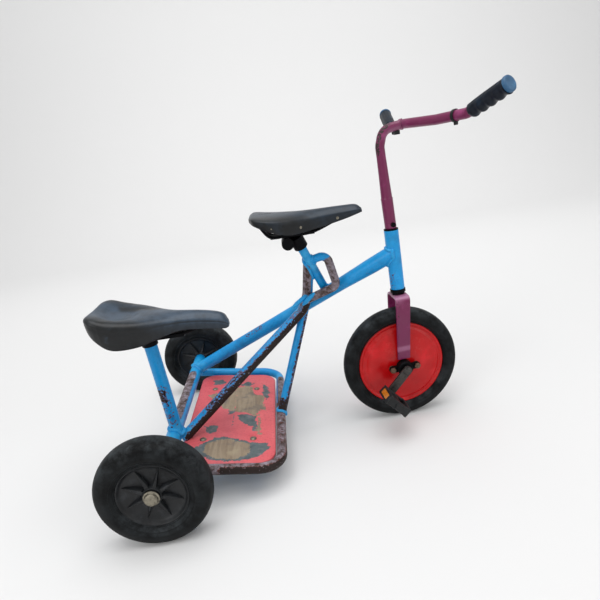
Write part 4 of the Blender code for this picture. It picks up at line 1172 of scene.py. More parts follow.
def build_frame_tubes(sizes):
    specs, head_wear = tube_specs(sizes)
    for name, (route, girths, sides, wear) in specs.items():
        mesh = bar_mesh(route, girths, "blue", sides=sides)
        piece(f"{name}_skin", mesh, "frame", "blue", [name], wear, sharp=50)
    radius, bore = sizes.head_radius, 0.0132
    ends = outline([(radius, 0.0), (radius, HEAD_LENGTH), (bore, HEAD_LENGTH), (bore, 0.0)], 0.0008, 3)
    mesh = lathe(filled(ends, 0.003, closed=True), 64, HEAD @ turn(90.0, "X"))
    piece("head_tube_skin", mesh, "frame", "blue", ["head_tube"], head_wear, sharp=50)
    everywhere = ((-2, 0, 0), (2, 0, 0), 9.0)
    # Every weld bead gets the lighter weld blue all over, fresh paint with painted highlight, and a few
    # chips.
    fresh_and_highlight = [(FRESH_AND_HIGHLIGHT, *everywhere, 0.55, None), (CHIPS, *everywhere, 0.22, None)]
    for name, loop, share in weld_loops(sizes):
        mesh = bar_mesh(loop, sizes.weld_radius * share, "blue", sides=14, spacing=0.0007,
                        ripple=0.1, ripple_length=sizes.weld_ripple, loop=True)
        piece(name, mesh, "frame", "blue", wear=fresh_and_highlight)
    knee = along(STAY_ROUTE, 0.775)
    for name, start, end, girth in (
            ("stay_main_weld_upper", knee + Vector((-0.03, -0.026, 0.004)),
             knee + Vector((0.014, -0.006, 0.026)), 0.005),
            ("loop_foot_weld", frame_point(0.3, 0.034, 0.284), frame_point(0.33, 0.029, 0.309),
             0.0052)):
        line = smooth_line([start, (start + end) / 2 + Vector((0, -0.002, 0.001)), end], 12)
        mesh = bar_mesh(line, [(0.0, girth * 0.5), (0.25, girth), (0.75, girth), (1.0, girth * 0.5)],
                        "blue", sides=16, spacing=0.0008, ripple=0.08, ripple_length=sizes.weld_ripple)
        piece(name, mesh, "frame", "blue", wear=fresh_and_highlight)


# Footboard; its worn patches are outlines in the board's own plane.
BOARD_LEFT, BOARD_RIGHT, BOARD_HALF = 0.0177, 0.2042, 0.191
BOARD_RADIUS, BOARD_THICKNESS = 0.036, 0.009
WORN_WOOD = [
    [(0.0414, 0.078), (0.062, 0.093), (0.088, 0.078), (0.106, 0.11), (0.13, 0.132), (0.1455, 0.119),
     (0.152, 0.087), (0.175, 0.0665), (0.176, 0.016), (0.164, -0.001), (0.158, -0.018), (0.139, -0.008),
     (0.114, 0.0), (0.083, 0.0185), (0.06, 0.052)],
    [(0.056, -0.14), (0.068, -0.124), (0.083, -0.113), (0.1036, -0.108), (0.131, -0.12), (0.149, -0.13),
     (0.15, -0.15), (0.144, -0.166), (0.13, -0.176), (0.108, -0.179), (0.082, -0.173), (0.063, -0.16)],
    [(0.168, 0.024), (0.18, 0.022), (0.18, 0.004), (0.168, 0.004)],
    [(0.1617, -0.012), (0.1675, -0.012), (0.169, -0.098), (0.163, -0.095)]]
WORN_GREY = [
    [(0.0417, -0.139), (0.062, -0.117), (0.078, -0.104), (0.1036, -0.102), (0.1314, -0.114), (0.15, -0.124),
     (0.181, -0.126), (0.188, -0.1435), (0.176, -0.166), (0.152, -0.179), (0.128, -0.183), (0.104, -0.185),
     (0.078, -0.179), (0.057, -0.163)],
    [(0.1143, -0.016), (0.137, -0.01), (0.158, -0.021), (0.156, -0.062), (0.142, -0.057), (0.126, -0.04)],
    [(0.171, 0.132), (0.184, 0.123), (0.187, 0.086), (0.18, 0.055), (0.171, 0.086)],
    [(0.044, 0.157), (0.066, 0.165), (0.079, 0.146), (0.063, 0.133), (0.047, 0.138)],
    [(0.117, 0.132), (0.131, 0.15), (0.152, 0.138), (0.133, 0.12)],
    [(0.051, -0.06), (0.079, -0.056), (0.079, -0.081), (0.062, -0.088)],
    [(0.151, -0.058), (0.16, -0.045), (0.163, -0.083), (0.154, -0.088)],
    [(0.094, 0.004), (0.112, 0.002), (0.106, -0.012), (0.097, -0.01)]]


def inside_by(points, corners):
    """Signed distance into a closed outline, positive inside, for many points."""
    corners = np.array(corners)
    nearest = np.full(len(points), 1e9)
    inside = np.zeros(len(points), bool)
    for a, b in zip(corners, np.roll(corners, -1, axis=0)):
        run = b - a
        share = np.clip(((points - a) @ run) / (run @ run), 0, 1)
        nearest = np.minimum(nearest, np.linalg.norm(points - a - share[:, None] * run, axis=1))
        crosses = (a[1] > points[:, 1]) != (b[1] > points[:, 1])
        reach = a[0] + (points[:, 1] - a[1]) * run[0] / (run[1] if abs(run[1]) > 1e-12 else 1e-12)
        inside ^= crosses & (points[:, 0] < reach)
    return np.where(inside, nearest, -nearest)


def board_ring(inset, z):
    """The board's outline moved inwards, at a height: four arcs and four divided edges."""
    left, right, half = BOARD_LEFT + inset, BOARD_RIGHT - inset, BOARD_HALF - inset
    radius = max(BOARD_RADIUS - inset, 0.0015)
    ring = []
    for side in range(4):
        line = rounded([(left, -half, 0), (right, -half, 0), (right, half, 0), (left, half, 0)],
                       radius, 10, closed=True)
        start, end = line[side * 11 + 10], line[((side + 1) % 4) * 11]
        ring += [Vector((p.x, p.y, z)) for p in line[side * 11:side * 11 + 11]]
        straight = 50 if side in (0, 2) else 100
        ring += [Vector((*start.lerp(end, (i + 1) / (straight + 1)).xy, z)) for i in range(straight)]
    return ring


def build_footboard():
    low = -BOARD_THICKNESS
    rim = [(0.0016, low), (0.0004, low + 0.0007), (0.0, low + 0.002), (0.0, -0.0022), (0.0004, -0.0009),
           (0.0013, -0.0002), (0.0026, 0.0)]
    rings = [board_ring(0.088, low), board_ring(0.03, low)]
    rings += [board_ring(inset, z) for inset, z in rim]
    rings += [board_ring(inset, 0.0) for inset in np.linspace(0.005, 0.09, 38)]
    mesh = lofted(rings)
    points, _ = points_and_normals(mesh)
    across_board = points[:, :2] * (math.cos(math.atan(PLATFORM_DROP)), 1.0)
    levels = np.zeros((len(points), 4), np.float32)
    levels[:, 3] = 1.0
    for channel, outlines in ((0, WORN_WOOD), (1, WORN_GREY)):
        for corners in outlines:
            depth = inside_by(across_board, corners)
            levels[:, channel] = np.maximum(levels[:, channel], np.clip(0.5 + depth / 0.02, 0, 1))
    edge = np.minimum(np.minimum(points[:, 0] - BOARD_LEFT, BOARD_RIGHT - points[:, 0]),
                      BOARD_HALF - np.abs(points[:, 1]))
    levels[:, 1] = np.maximum(levels[:, 1], np.clip(0.36 - edge / 0.01, 0, 1))
    levels[:, 2] = np.clip(0.55 - np.abs(across_board[:, 0] - 0.1) / 0.12, 0, 1)
    levels[points[:, 2] < -0.007, :2] = (0.0, 1.0)
    store_wear(mesh, levels)
    mesh.transform(PLATFORM)
    piece("board_skin", mesh, "frame", "board", ["platform_board"], sharp=50)
    for node in ("rear_board_strap", "front_board_strap"):
        dress(node, "blue")
    dome = outline([(0.0, 0.0034), (0.0036, 0.003), (0.0062, 0.0014), (0.0069, 0.0), (0.0, 0.0)], 0.0004, 3)
    dome = [(max(r, 0.0), h) for r, h in dome]
    facing = (PLATFORM.to_3x3() @ Vector((0, 0, 1))).normalized()
    for place in ("rear", "front"):
        for side in ("left", "right"):
            node = f"{place}_{side}_board_bolt"
            dress(node, "zinc")
            spot = PLATFORM.inverted() @ middle(node)
            top = PLATFORM @ Vector((spot.x, spot.y, 0.0002))
            head = stud_mesh(lathe(dome, 28), [top], [facing], "zinc")
            piece(f"{node}_head", head, "frame", "zinc", sharp=40)


# Wheels.
STEER = HEAD @ turn(3.4, "Z")
BAR = STEER @ turn(8.3, "Z")
FRONT_HUB = Matrix.Translation(pivot("front_wheel_spin")) @ STEER.to_3x3().to_4x4()
FACES = {"left": FRONT_HUB, "right": FRONT_HUB @ turn(180.0, "Z")}
SIGNS = {"left": 1, "right": -1}


def tyre_profile(bead, radius, half, crown):
    """A tyre's closed outline with a bead ridge, a sidewall line and a rounded tread."""
    deep = radius - bead
    right = smooth_line([(bead + deep * s, half * h, 0.0) for s, h in (
        (0.02, 0.66), (0.055, 0.74), (0.08, 0.73), (0.11, 0.79), (0.2, 0.9), (0.235, 0.935),
        (0.262, 0.915), (0.42, 1.0), (0.56, 0.985), (0.7, 0.925), (0.8, 0.86))], 5)
    right += [Vector((bead + deep * s, half * h, 0.0)) for s, h in (
        (0.87, 0.77), (0.925, 0.64), (0.965, 0.47), (0.99, crown), (1.0, 0.1))]
    right.insert(0, Vector((bead, half * 0.55, 0.0)))
    return [(p.x, p.y) for p in right] + [(p.x, -p.y) for p in reversed(right)]


def rib_shape(sections):
    """A raised star rib on both faces of a rim: (radius, width, crest, base) sections."""
    halves = []
    for face in (1, -1):
        rings = []
        for r, width, crest, base in sections:
            w = width / 2
            rings.append([Vector((r, face * h, z)) for h, z in (
                (base, -w), (crest - 0.0016, -w * 0.72), (crest - 0.0003, -w * 0.3), (crest, 0.0),
                (crest - 0.0003, w * 0.3), (crest - 0.0016, w * 0.72), (base, w))])
        halves.append(lofted(rings))
    return joined(halves)


def build_rear_wheel(side, sizes):
    hub = REAR_HUBS[side]
    body = f"{side}_rear_wheel"
    tyre = lathe(tyre_profile(sizes.rim_radius - 0.0015, sizes.rear_radius, sizes.rear_width / 2 - 0.0002,
                              0.26), 128, hub)
    piece(f"{side}_tyre_skin", tyre, body, "tyre", [f"{side}_tyre"], sharp=60)
    edge = sizes.rim_radius
    dish = [(edge - 0.0004, 0.0158), (edge - 0.001, 0.017), (edge - 0.0024, 0.0172),
            (edge - 0.0036, 0.0162), (edge - 0.005, 0.0128), (edge - 0.0085, 0.0098),
            (edge - 0.015, 0.0076), (edge - 0.026, 0.006), (edge - 0.038, 0.0056),
            (0.019, 0.0064), (0.0172, 0.009), (0.0168, 0.0178), (0.016, 0.0186), (0.0068, 0.0186)]
    rim = lathe(dish + [(r, -h) for r, h in reversed(dish)], 128, hub)
    piece(f"{side}_rim_skin", rim, body, "rim", [f"{side}_rim"], sharp=45)
    rib = rib_shape([(0.016, 0.0104, 0.017, 0.004), (0.02, 0.0094, 0.0162, 0.004),
                     (0.03, 0.0068, 0.014, 0.004), (0.04, 0.0042, 0.012, 0.004),
                     (0.049, 0.002, 0.0106, 0.004), (0.054, 0.0006, 0.0098, 0.004)])
    ribs = grown(rib, "ring", Count=sizes.rim_ribs, Start_Angle=math.radians(22.5),
                 Finish=FINISHES["rim"])
    ribs.transform(hub)
    piece(f"{side}_rim_ribs", ribs, body, "rim", sharp=50)
    cap = lathe([(0.0, 0.0207), (0.0138, 0.0207), (0.0142, 0.0212), (0.0142, 0.0224), (0.0136, 0.023),
                 (0.0124, 0.0232), (0.0119, 0.0238), (0.0116, 0.0262), (0.0106, 0.0283),
                 (0.0084, 0.0296), (0.0046, 0.0302), (0.003, 0.03), (0.0, 0.0299)], 64, hub)
    piece(f"{side}_axle_cap_skin", cap, "frame", "zinc", [f"{side}_axle_cap"], sharp=50)
    dress(f"{side}_washer", "zinc")


def build_front_wheel(sizes):
    edge = sizes.disc_radius
    tyre = lathe(tyre_profile(edge + 0.0002, sizes.front_radius, sizes.front_width / 2, 0.3), 160,
                 FRONT_HUB)
    piece("front_tyre_skin", tyre, "front_wheel", "tyre", ["front_tyre"], sharp=60)
    face = [(edge, 0.0004), (edge, 0.011), (edge - 0.0004, 0.0124), (edge - 0.0016, 0.0133),
            (edge - 0.0034, 0.0134), (edge - 0.0052, 0.0126), (edge - 0.0072, 0.0108),
            (edge - 0.0086, 0.0103), (edge - 0.0102, 0.0108), (edge - 0.0132, 0.013),
            (edge - 0.015, 0.0137), (edge - 0.017, 0.0138), (edge - 0.0196, 0.0136), (0.07, 0.0148),
            (0.06, 0.0168), (0.05, 0.019), (0.04, 0.0209), (0.03, 0.0224), (0.02, 0.0235),
            (0.012, 0.0241), (0.0064, 0.0243), (0.0064, 0.0222), (0.03, 0.0203), (0.05, 0.0168),
            (0.07, 0.0126), (edge - 0.012, 0.0085), (edge - 0.009, 0.0004)]
    for side in ("left", "right"):
        piece(f"{side}_wheel_disc_skin", lathe(face, 144, FACES[side]), "front_wheel",
              "red", [f"{side}_wheel_disc"], sharp=60)


# Fork, handlebar and grips.
CROWN_TOP, LEG_END, LEG_RAKE = -0.0118, -0.152, 0.089
TAPER_TOP, LEG_TAPER = -0.0165, 0.9
STRIP, FORK_HALF, FORK_WIDTH = 0.005, 0.033, 0.032


def build_fork():
    centre = FORK_HALF - STRIP / 2
    top = CROWN_TOP - STRIP / 2
    route = rounded([(0, -centre, LEG_END), (0, -centre, top), (0, centre, top), (0, centre, LEG_END)],
                    0.0095, 10)
    even = filled(route, 0.0025)
    section = box_outline(-FORK_WIDTH / 2, FORK_WIDTH / 2, -STRIP / 2, STRIP / 2, 0.0017, 4)
    wide = filled(section, 0.003, closed=True)
    rings = []
    for i, point in enumerate(even):
        run = (even[min(i + 1, len(even) - 1)] - even[max(i - 1, 0)]).normalized()
        out = Vector((1, 0, 0)).cross(run)
        rings.append([point + Vector((x, 0, 0)) + out * t for x, t in wide])
    mesh = lofted(rings)
    for vertex in mesh.vertices:
        below = max(0.0, TAPER_TOP - vertex.co.z)
        vertex.co.x = vertex.co.x * (1.0 - LEG_TAPER * below) - LEG_RAKE * below
    mesh.transform(STEER)
    cutter = lathe([(0.0, -0.06), (0.0174, -0.06), (0.0174, 0.06), (0.0, 0.06)], 48, FRONT_HUB)
    mesh = shaped(mesh, cutter=cutter)
    up = STEER.to_3x3() @ Vector((0, 0, 1))
    corners = [(x, y, CROWN_TOP) for x in (-0.012, 0.012) for y in (-0.024, 0.024)]
    wear = placed(
        STEER,
        # The third channel here puts light pink along the crown's bends and on its top as painted
        # highlight, and a lighter band above the hub.
        (FRESH_AND_HIGHLIGHT, corners[0], corners[2], 0.012, 0.55, None),
        (FRESH_AND_HIGHLIGHT, corners[1], corners[3], 0.012, 0.55, None),
        (FRESH_AND_HIGHLIGHT, corners[0], corners[3], 0.022, 0.25, up),
        (BARE, corners[0], corners[1], 0.006, 0.42, None),
        (FRESH_AND_HIGHLIGHT, (-0.03, -FORK_HALF, -0.128), (0.004, -FORK_HALF, -0.128), 0.007, 0.3, None),
        (CHIPS, (0, -FORK_HALF, -0.02), (-0.012, -FORK_HALF, -0.15), 0.045, 0.16, None),
        (CHIPS, (-0.014, -FORK_HALF, -0.02), (-0.026, -FORK_HALF, -0.15), 0.01, 0.46, None),
        (BARE, (-0.016, -FORK_HALF, -0.02), (-0.024, -FORK_HALF, -0.15), 0.005, 0.24, None))
    piece("fork_skin", mesh, "fork", "magenta", ["fork"], wear, sharp=45)
    for node, name in (("steerer", "black_metal"), ("upper_head_bearing", "black_metal"),
                       ("lower_head_bearing", "black_metal"), ("stem_bolt", "black_metal")):
        dress(node, name)


TEE = Vector((0.0483, 0.0, 0.3289))
GRIP_START, BAR_TIP = Vector((0.0956, 0.1514, 0.3271)), Vector((0.1195, 0.227, 0.3573))


def build_handlebar(sizes):
    stem = rounded([(0, 0, 0.1315), (-0.0016, 0, 0.192), (-0.0038, 0, 0.295),
                    (0.006, 0, 0.324), TEE], [1e-9, 0.03, 0.024], 12)
    total = sum((b - a).length for a, b in zip(stem, stem[1:]))
    collar = 0.0605 / total
    fit, thin = sizes.stem_radius, sizes.bar_radius
    girths = [(0.0, fit - 0.0006), (0.006, fit), (collar - 0.006, fit), (collar, fit + 0.0004),
              (collar + 0.004, fit - 0.0006), (0.42, thin + 0.001), (0.62, thin), (1.0, thin)]
    sleeve = bar_mesh(stem, girths, "magenta", sides=48, spacing=0.0012)
    arms = rounded([across(BAR_TIP, 1), across(GRIP_START, 1), (0.0746, 0.0842, 0.3256),
                    TEE + Vector((0.001, 0, 0)), (0.0746, -0.0842, 0.3256), across(GRIP_START, -1),
                    across(BAR_TIP, -1)], 0.03, 8)
    bar = bar_mesh(arms, thin, "magenta", sides=48, spacing=0.0025)
    bead = joint_loop(TEE, Vector((0.006, 0, 0.324)), thin, Vector((0.049, -0.05, 0.3289)),
                      Vector((0.049, 0.05, 0.3289)), thin)
    weld = bar_mesh(bead, 0.0016, "magenta", sides=12, spacing=0.0007, ripple=0.1,
                    ripple_length=sizes.weld_ripple, loop=True)
    mesh = joined([sleeve, bar, weld])
    mesh.transform(BAR)
    bend = (0.006, 0, 0.324)
    wear = placed(
        BAR,
        (BARE, (-0.0016, 0, 0.19), (-0.0016, 0, 0.1935), 0.008, 0.8, None),
        (CHIPS, (0, 0, 0.1315), (0, 0, 0.19), 0.03, 0.36, None),
        (CHIPS, (-0.004, 0, 0.205), (-0.004, 0, 0.3), 0.03, 0.2, None),
        (FRESH_AND_HIGHLIGHT, bend, TEE, 0.026, 0.2, DOWN),
        (FRESH_AND_HIGHLIGHT, TEE, TEE, 0.02, 0.1, None),
        (CHIPS, bend, TEE, 0.022, 0.34, UP),
        (CHIPS, (-0.003, 0, 0.29), (0.012, 0, 0.322), 0.024, 0.7, (-0.8, 0, 0.5)))
    piece("handlebar_skin", mesh, "fork", "magenta", ["handlebar"], wear, sharp=50)
    clip = block((0.03, -0.0058, 0.3095), (0.04, 0.0058, 0.3172), 0.0014,
                 BAR @ Matrix.Translation((0.0, 0.0, 0.0015)))
    piece("stem_clip", clip, "fork", "black_plastic", sharp=50)
    for side, sign in SIGNS.items():
        build_grip(side, sign, sizes.grip_radius)
        start = across(GRIP_START, sign)
        run = (start - Vector((0.0746, sign * 0.0842, 0.3256))).normalized()
        at = aim(start - run * 0.026, run)
        ring = lathe(outline([(0.0113, 0.003), (0.0094, 0.003), (0.0094, -0.003), (0.0113, -0.003)],
                             0.0008, 4), 56, at)
        down = (at.inverted().to_3x3() @ DOWN).normalized()
        tab = block((-0.0036, -0.0026, 0.0), (0.0036, 0.0026, 0.0062), 0.0012)
        tab.transform(at
                      @ Matrix.Rotation(math.atan2(down.x, down.z), 4, "Y")
                      @ Matrix.Translation((0, 0, 0.0094)))
        mesh = joined([ring, tab])
        mesh.transform(BAR)
        piece(f"{side}_clip_ring_skin", mesh, "fork", "black_plastic",
              [f"{side}_clip_ring"], sharp=50)


def build_grip(side, sign, radius):
    start, end = across(GRIP_START, sign), across(BAR_TIP, sign)
    run = (end - start).normalized()
    place = aim(start, run)
    below = (place.inverted().to_3x3() @ Vector((-0.35, 0, -1))).normalized()
    total = (end - start).length + 0.0058
    rings = []
    stations = list(np.linspace(0.0066, total - 0.0062, 84))
    for i, h in enumerate(stations):
        share = (h - stations[0]) / (stations[-1] - stations[0])
        base = radius - 0.0012 + 0.0012 * math.sin(min(share, 0.5) * math.pi)
        if i < 4:
            base -= 0.0004 * (4 - i) ** 1.3
        lobes = 0.5 - 0.5 * math.cos(2 * math.pi * 4.5 * share)
        ring = []
        for step in range(56):
            angle = 2 * math.pi * step / 56
            way = Vector((math.cos(angle), 0, math.sin(angle)))
            under = max(0.0, way.dot(below)) ** 0.8
            r = base + 0.003 * under * lobes - 0.0004 * (1 - under) * (abs((step % 7) - 3) > 2)
            ring.append(Vector((way.x * r, h, way.z * r)))
        rings.append(ring)
    hand = lofted(rings)
    hand.transform(BAR @ place)
    piece(f"{side}_grip_skin", hand, "fork", "grip", [f"{side}_grip"], sharp=60)
    flange = lathe([(0.0, total - 0.0064), (radius + 0.0006, total - 0.0064),
                    (radius + 0.0011, total - 0.0056), (radius + 0.0013, total - 0.004),
                    (radius + 0.0011, total - 0.0016), (radius + 0.0005, total - 0.0005),
                    (radius - 0.0008, total), (0.0085, total - 0.0004), (0.0, total - 0.0004)], 64,
                   BAR @ place)
    piece(f"{side}_grip_end", flange, "fork", "grip_end", sharp=50)


# Front drive and pedals.
CRANK_REST = {"left": 45.0, "right": 225.0}
PEDAL_TILT = {"left": -20.0, "right": -50.0}
PEDAL_INNER, PEDAL_OUTER, LENS_INSET = 0.064, 0.116, 0.0104
CAGE_HALF, CAGE_TALL = 0.029, 0.01


def build_drive(sizes):
    hexagon = [(0.0066 * math.cos(a), 0.0066 * math.sin(a)) for a in
               (math.radians(60 * i) for i in range(6))]
    to_side = turn(-90.0, "X")
    nut = plate(hexagon, 0.0046, 0.0005, to_side, 2)
    thread = lathe(outline([(0.0033, 0.0082), (0.0, 0.0082), (0.0, -0.011), (0.0033, -0.011)][::-1],
                           0.0003, 2), 20)
    inner = plate(hexagon, 0.004, 0.0004, to_side @ Matrix.Translation((0, 0, -0.011)), 2)
    stud = joined([nut, thread, inner])
    points, ways, nodes = [], [], []
    for side, face in FACES.items():
        way = (face.to_3x3() @ Vector((0, 1, 0))).normalized()
        for place, x in (("front", 0.0275), ("rear", -0.0275)):
            nodes.append(f"{side}_{place}_bearing_bolt")
            points.append(face @ Vector((x, 0.0397, 0.001)))
            ways.append(way)
    piece("bearing_nuts", stud_mesh(stud, points, ways, "rusty_nut"), "fork", "rusty_nut", nodes, sharp=40)
    for side in SIGNS:
        dress(f"{side}_axle_bearing", "black_metal")
        dress(f"{side}_pedal_spindle", "crank_steel")
    dress("crank_axle", "crank_steel")
    shape = box_outline(-0.0105, sizes.crank_length + 0.0095, -0.0095, 0.0095, 0.0088, 10)
    for side, sign in SIGNS.items():
        lie = (FRONT_HUB @ Matrix.Translation((0, sign * 0.053, 0)) @ turn(-CRANK_REST[side], "Y")
               @ turn(90.0, "X") @ Matrix.Translation((0, 0, -0.003)))
        bar = plate(shape, 0.006, 0.0009, lie)
        boss = lathe([(0.0, 0.0545), (0.0098, 0.0545), (0.0098, 0.0572), (0.0088, 0.0582),
                      (0.006, 0.0586), (0.0, 0.0586)], 6, FACES[side])
        mesh = tidied(joined([bar, boss]))
        piece(f"{side}_crank_skin", mesh, "front_wheel", "crank_steel", [f"{side}_crank"], sharp=40)
        build_pedal(side, sign)


def build_pedal(side, sign):
    place = (Matrix.Translation(pivot(f"{side}_pedal_spin")) @ FRONT_HUB.to_3x3().to_4x4()
             @ turn(-PEDAL_TILT[side], "Y"))
    low, high = sorted((sign * PEDAL_INNER, sign * PEDAL_OUTER))
    parts = [block((-CAGE_HALF, y, -CAGE_TALL), (-0.0265, y + LENS_INSET, CAGE_TALL), 0.0012)
             for y in (low, high - LENS_INSET)]
    for z in (-CAGE_TALL, CAGE_TALL - 0.004):
        for x in (-CAGE_HALF, CAGE_HALF - 0.0065):
            parts.append(block((x, low, z), (x + 0.0065, high, z + 0.004), 0.0013))
    parts.append(block((-0.0272, low + 0.002, -0.0075), (-0.0232, high - 0.002, 0.0075), 0.001))
    parts.append(block((0.025, low, -CAGE_TALL), (CAGE_HALF, high, CAGE_TALL), 0.0015))
    for y in (low, high - 0.0088):
        parts.append(block((-0.0275, y, -0.0092), (0.0275, y + 0.0088, 0.0092), 0.0022))
    barrel = outline([(0.0085, low + 0.002), (0.0085, high - 0.002), (0.005, high - 0.002),
                      (0.005, low + 0.002)], 0.0008, 3)
    parts.append(lathe(barrel, 32))
    parts.append(lathe([(0.0, sign * PEDAL_OUTER), (0.0078, sign * PEDAL_OUTER), (0.007, sign * 0.1184),
                        (0.0, sign * 0.1188)], 28))
    for x in (-0.0258, 0.0258):
        for step in range(7):
            y = low + 0.0072 + step * 0.0063
            for z in (-0.01, 0.0088):
                parts.append(block((x - 0.0028, y - 0.0013, z - 0.0006 * (z < 0)),
                                   (x + 0.0028, y + 0.0013, z + 0.0012 + 0.0006 * (z > 0)), 0.0004))
    mesh = joined(parts)
    mesh.transform(place)
    piece(f"{side}_pedal_skin", mesh, f"{side}_pedal", "black_plastic", [f"{side}_pedal"], sharp=40)
    lens = block((-0.0298, low + LENS_INSET, -0.0058), (-0.0273, high - LENS_INSET, 0.0058), 0.0007)
    lens.transform(place)
    piece(f"{side}_reflector_lens", lens, f"{side}_pedal", "amber",
          [f"{side}_pedal_reflector"], sharp=40)


# Saddles.
# (x, half width, crown, rim, lower edge) of each section
REAR_SECTIONS = [
    (-0.0905, 0.04, 0.378, 0.3785, 0.368), (-0.0872, 0.056, 0.3818, 0.3832, 0.358),
    (-0.073, 0.069, 0.379, 0.3834, 0.34), (-0.048, 0.0715, 0.3695, 0.374, 0.32),
    (-0.005, 0.062, 0.363, 0.3628, 0.3158), (0.03, 0.043, 0.36, 0.3548, 0.3205),
    (0.065, 0.027, 0.3565, 0.348, 0.324), (0.1, 0.021, 0.352, 0.343, 0.32),
    (0.13, 0.019, 0.3455, 0.337, 0.315), (0.147, 0.016, 0.338, 0.33, 0.312),
    (0.153, 0.01, 0.327, 0.322, 0.312)]
FRONT_SECTIONS = [
    (0.2205, 0.045, 0.4975, 0.497, 0.489), (0.23, 0.066, 0.5, 0.4985, 0.483),
    (0.26, 0.073, 0.4975, 0.493, 0.468), (0.295, 0.06, 0.4955, 0.488, 0.456),
    (0.33, 0.038, 0.494, 0.484, 0.456), (0.37, 0.025, 0.4935, 0.484, 0.46),
    (0.41, 0.021, 0.493, 0.484, 0.467), (0.435, 0.019, 0.4915, 0.484, 0.473),
    (0.4455, 0.013, 0.484, 0.48, 0.475)]


def saddle_section(x, half, crown, rim, low, seam, hollow):
    """One cross-section: crown, rounded rim, a seam line, the skirt and its rolled lower edge."""
    tall = rim - low
    right = [(0.0, crown), (0.25 * half, crown * 0.92 + rim * 0.08), (0.48 * half, crown * 0.7 + rim * 0.3),
             (0.7 * half, crown * 0.32 + rim * 0.68), (0.87 * half, rim - 0.02 * tall),
             (0.97 * half, rim - 0.12 * tall), (half, rim - 0.25 * tall),
             (half - seam, rim - 0.33 * tall), (half - 0.0002, rim - 0.41 * tall),
             (0.985 * half, rim - 0.6 * tall), (0.965 * half, rim - 0.8 * tall),
             (0.95 * half, low + 0.0012), (0.925 * half, low), (0.88 * half, low + 0.0018),
             (0.85 * half, low + hollow * 0.6), (0.6 * half, low + hollow),
             (0.3 * half, low + hollow * 1.1)]
    loop = [Vector((x, -y, z)) for y, z in right] + [Vector((x, 0.0, low + hollow * 1.12))]
    return loop + [Vector((x, y, z)) for y, z in reversed(right[1:])]


def saddle_mesh(sections, seam, hollow):
    """A saddle skin through smoothly blended sections, its ends drawn in and rounded."""
    columns = []
    for i in range(5):
        points = [Vector((s[0], s[i], 0.0)) for s in sections]
        columns.append(smooth_line(points, 7))
    rings = []
    count = len(columns[0])
    for i in range(count):
        share = min(i, count - 1 - i) / 8.0
        deep = hollow * min(1.0, share)
        deep = min(deep, 0.55 * (columns[3][i].y - columns[4][i].y))
        rings.append(saddle_section(columns[0][i].x, *(c[i].y for c in columns[1:]), seam, deep))
    for end, way in ((0, -1), (-1, 1)):
        base = rings[end]
        centre = sum(base, Vector()) / len(base)
        for share, step in ((0.93, 0.0006), (0.8, 0.001), (0.55, 0.0013), (0.25, 0.0015)):
            ring = [centre + (p - centre) * share + Vector((way * step, 0, 0)) for p in base]
            rings = rings + [ring] if way > 0 else [ring] + rings
    mesh = lofted(rings)
    return shaped(mesh, levels=1)


def saddle_sheen_and_crease_shade(mesh, sheen_axis, strength, creases):
    points, normals = points_and_normals(mesh)
    # Red: lighter crown on upward faces, painted sheen with some rubbing. Green: darker creases, painted
    # shade.
    wear = [(0, sheen_axis[0], sheen_axis[1], sheen_axis[2], strength, (0, 0, 1))]
    wear += [(1, start, end, 0.012, level, None) for start, end, level in creases]
    store_wear(mesh, wear_at(points, normals, wear))


def build_rails(name, radius, place, points):
    """A pair of wire rails through (x, share of the half gap, z) points."""
    rails = []
    for half in (-0.0145, 0.0145):
        line = smooth_line([(x, half * share, z) for x, share, z in points], 8)
        rails.append(bar_mesh(line, radius, "black_metal", sides=20))
    mesh = joined(rails)
    mesh.transform(place)
    piece(name, mesh, "frame", "black_metal", sharp=60)


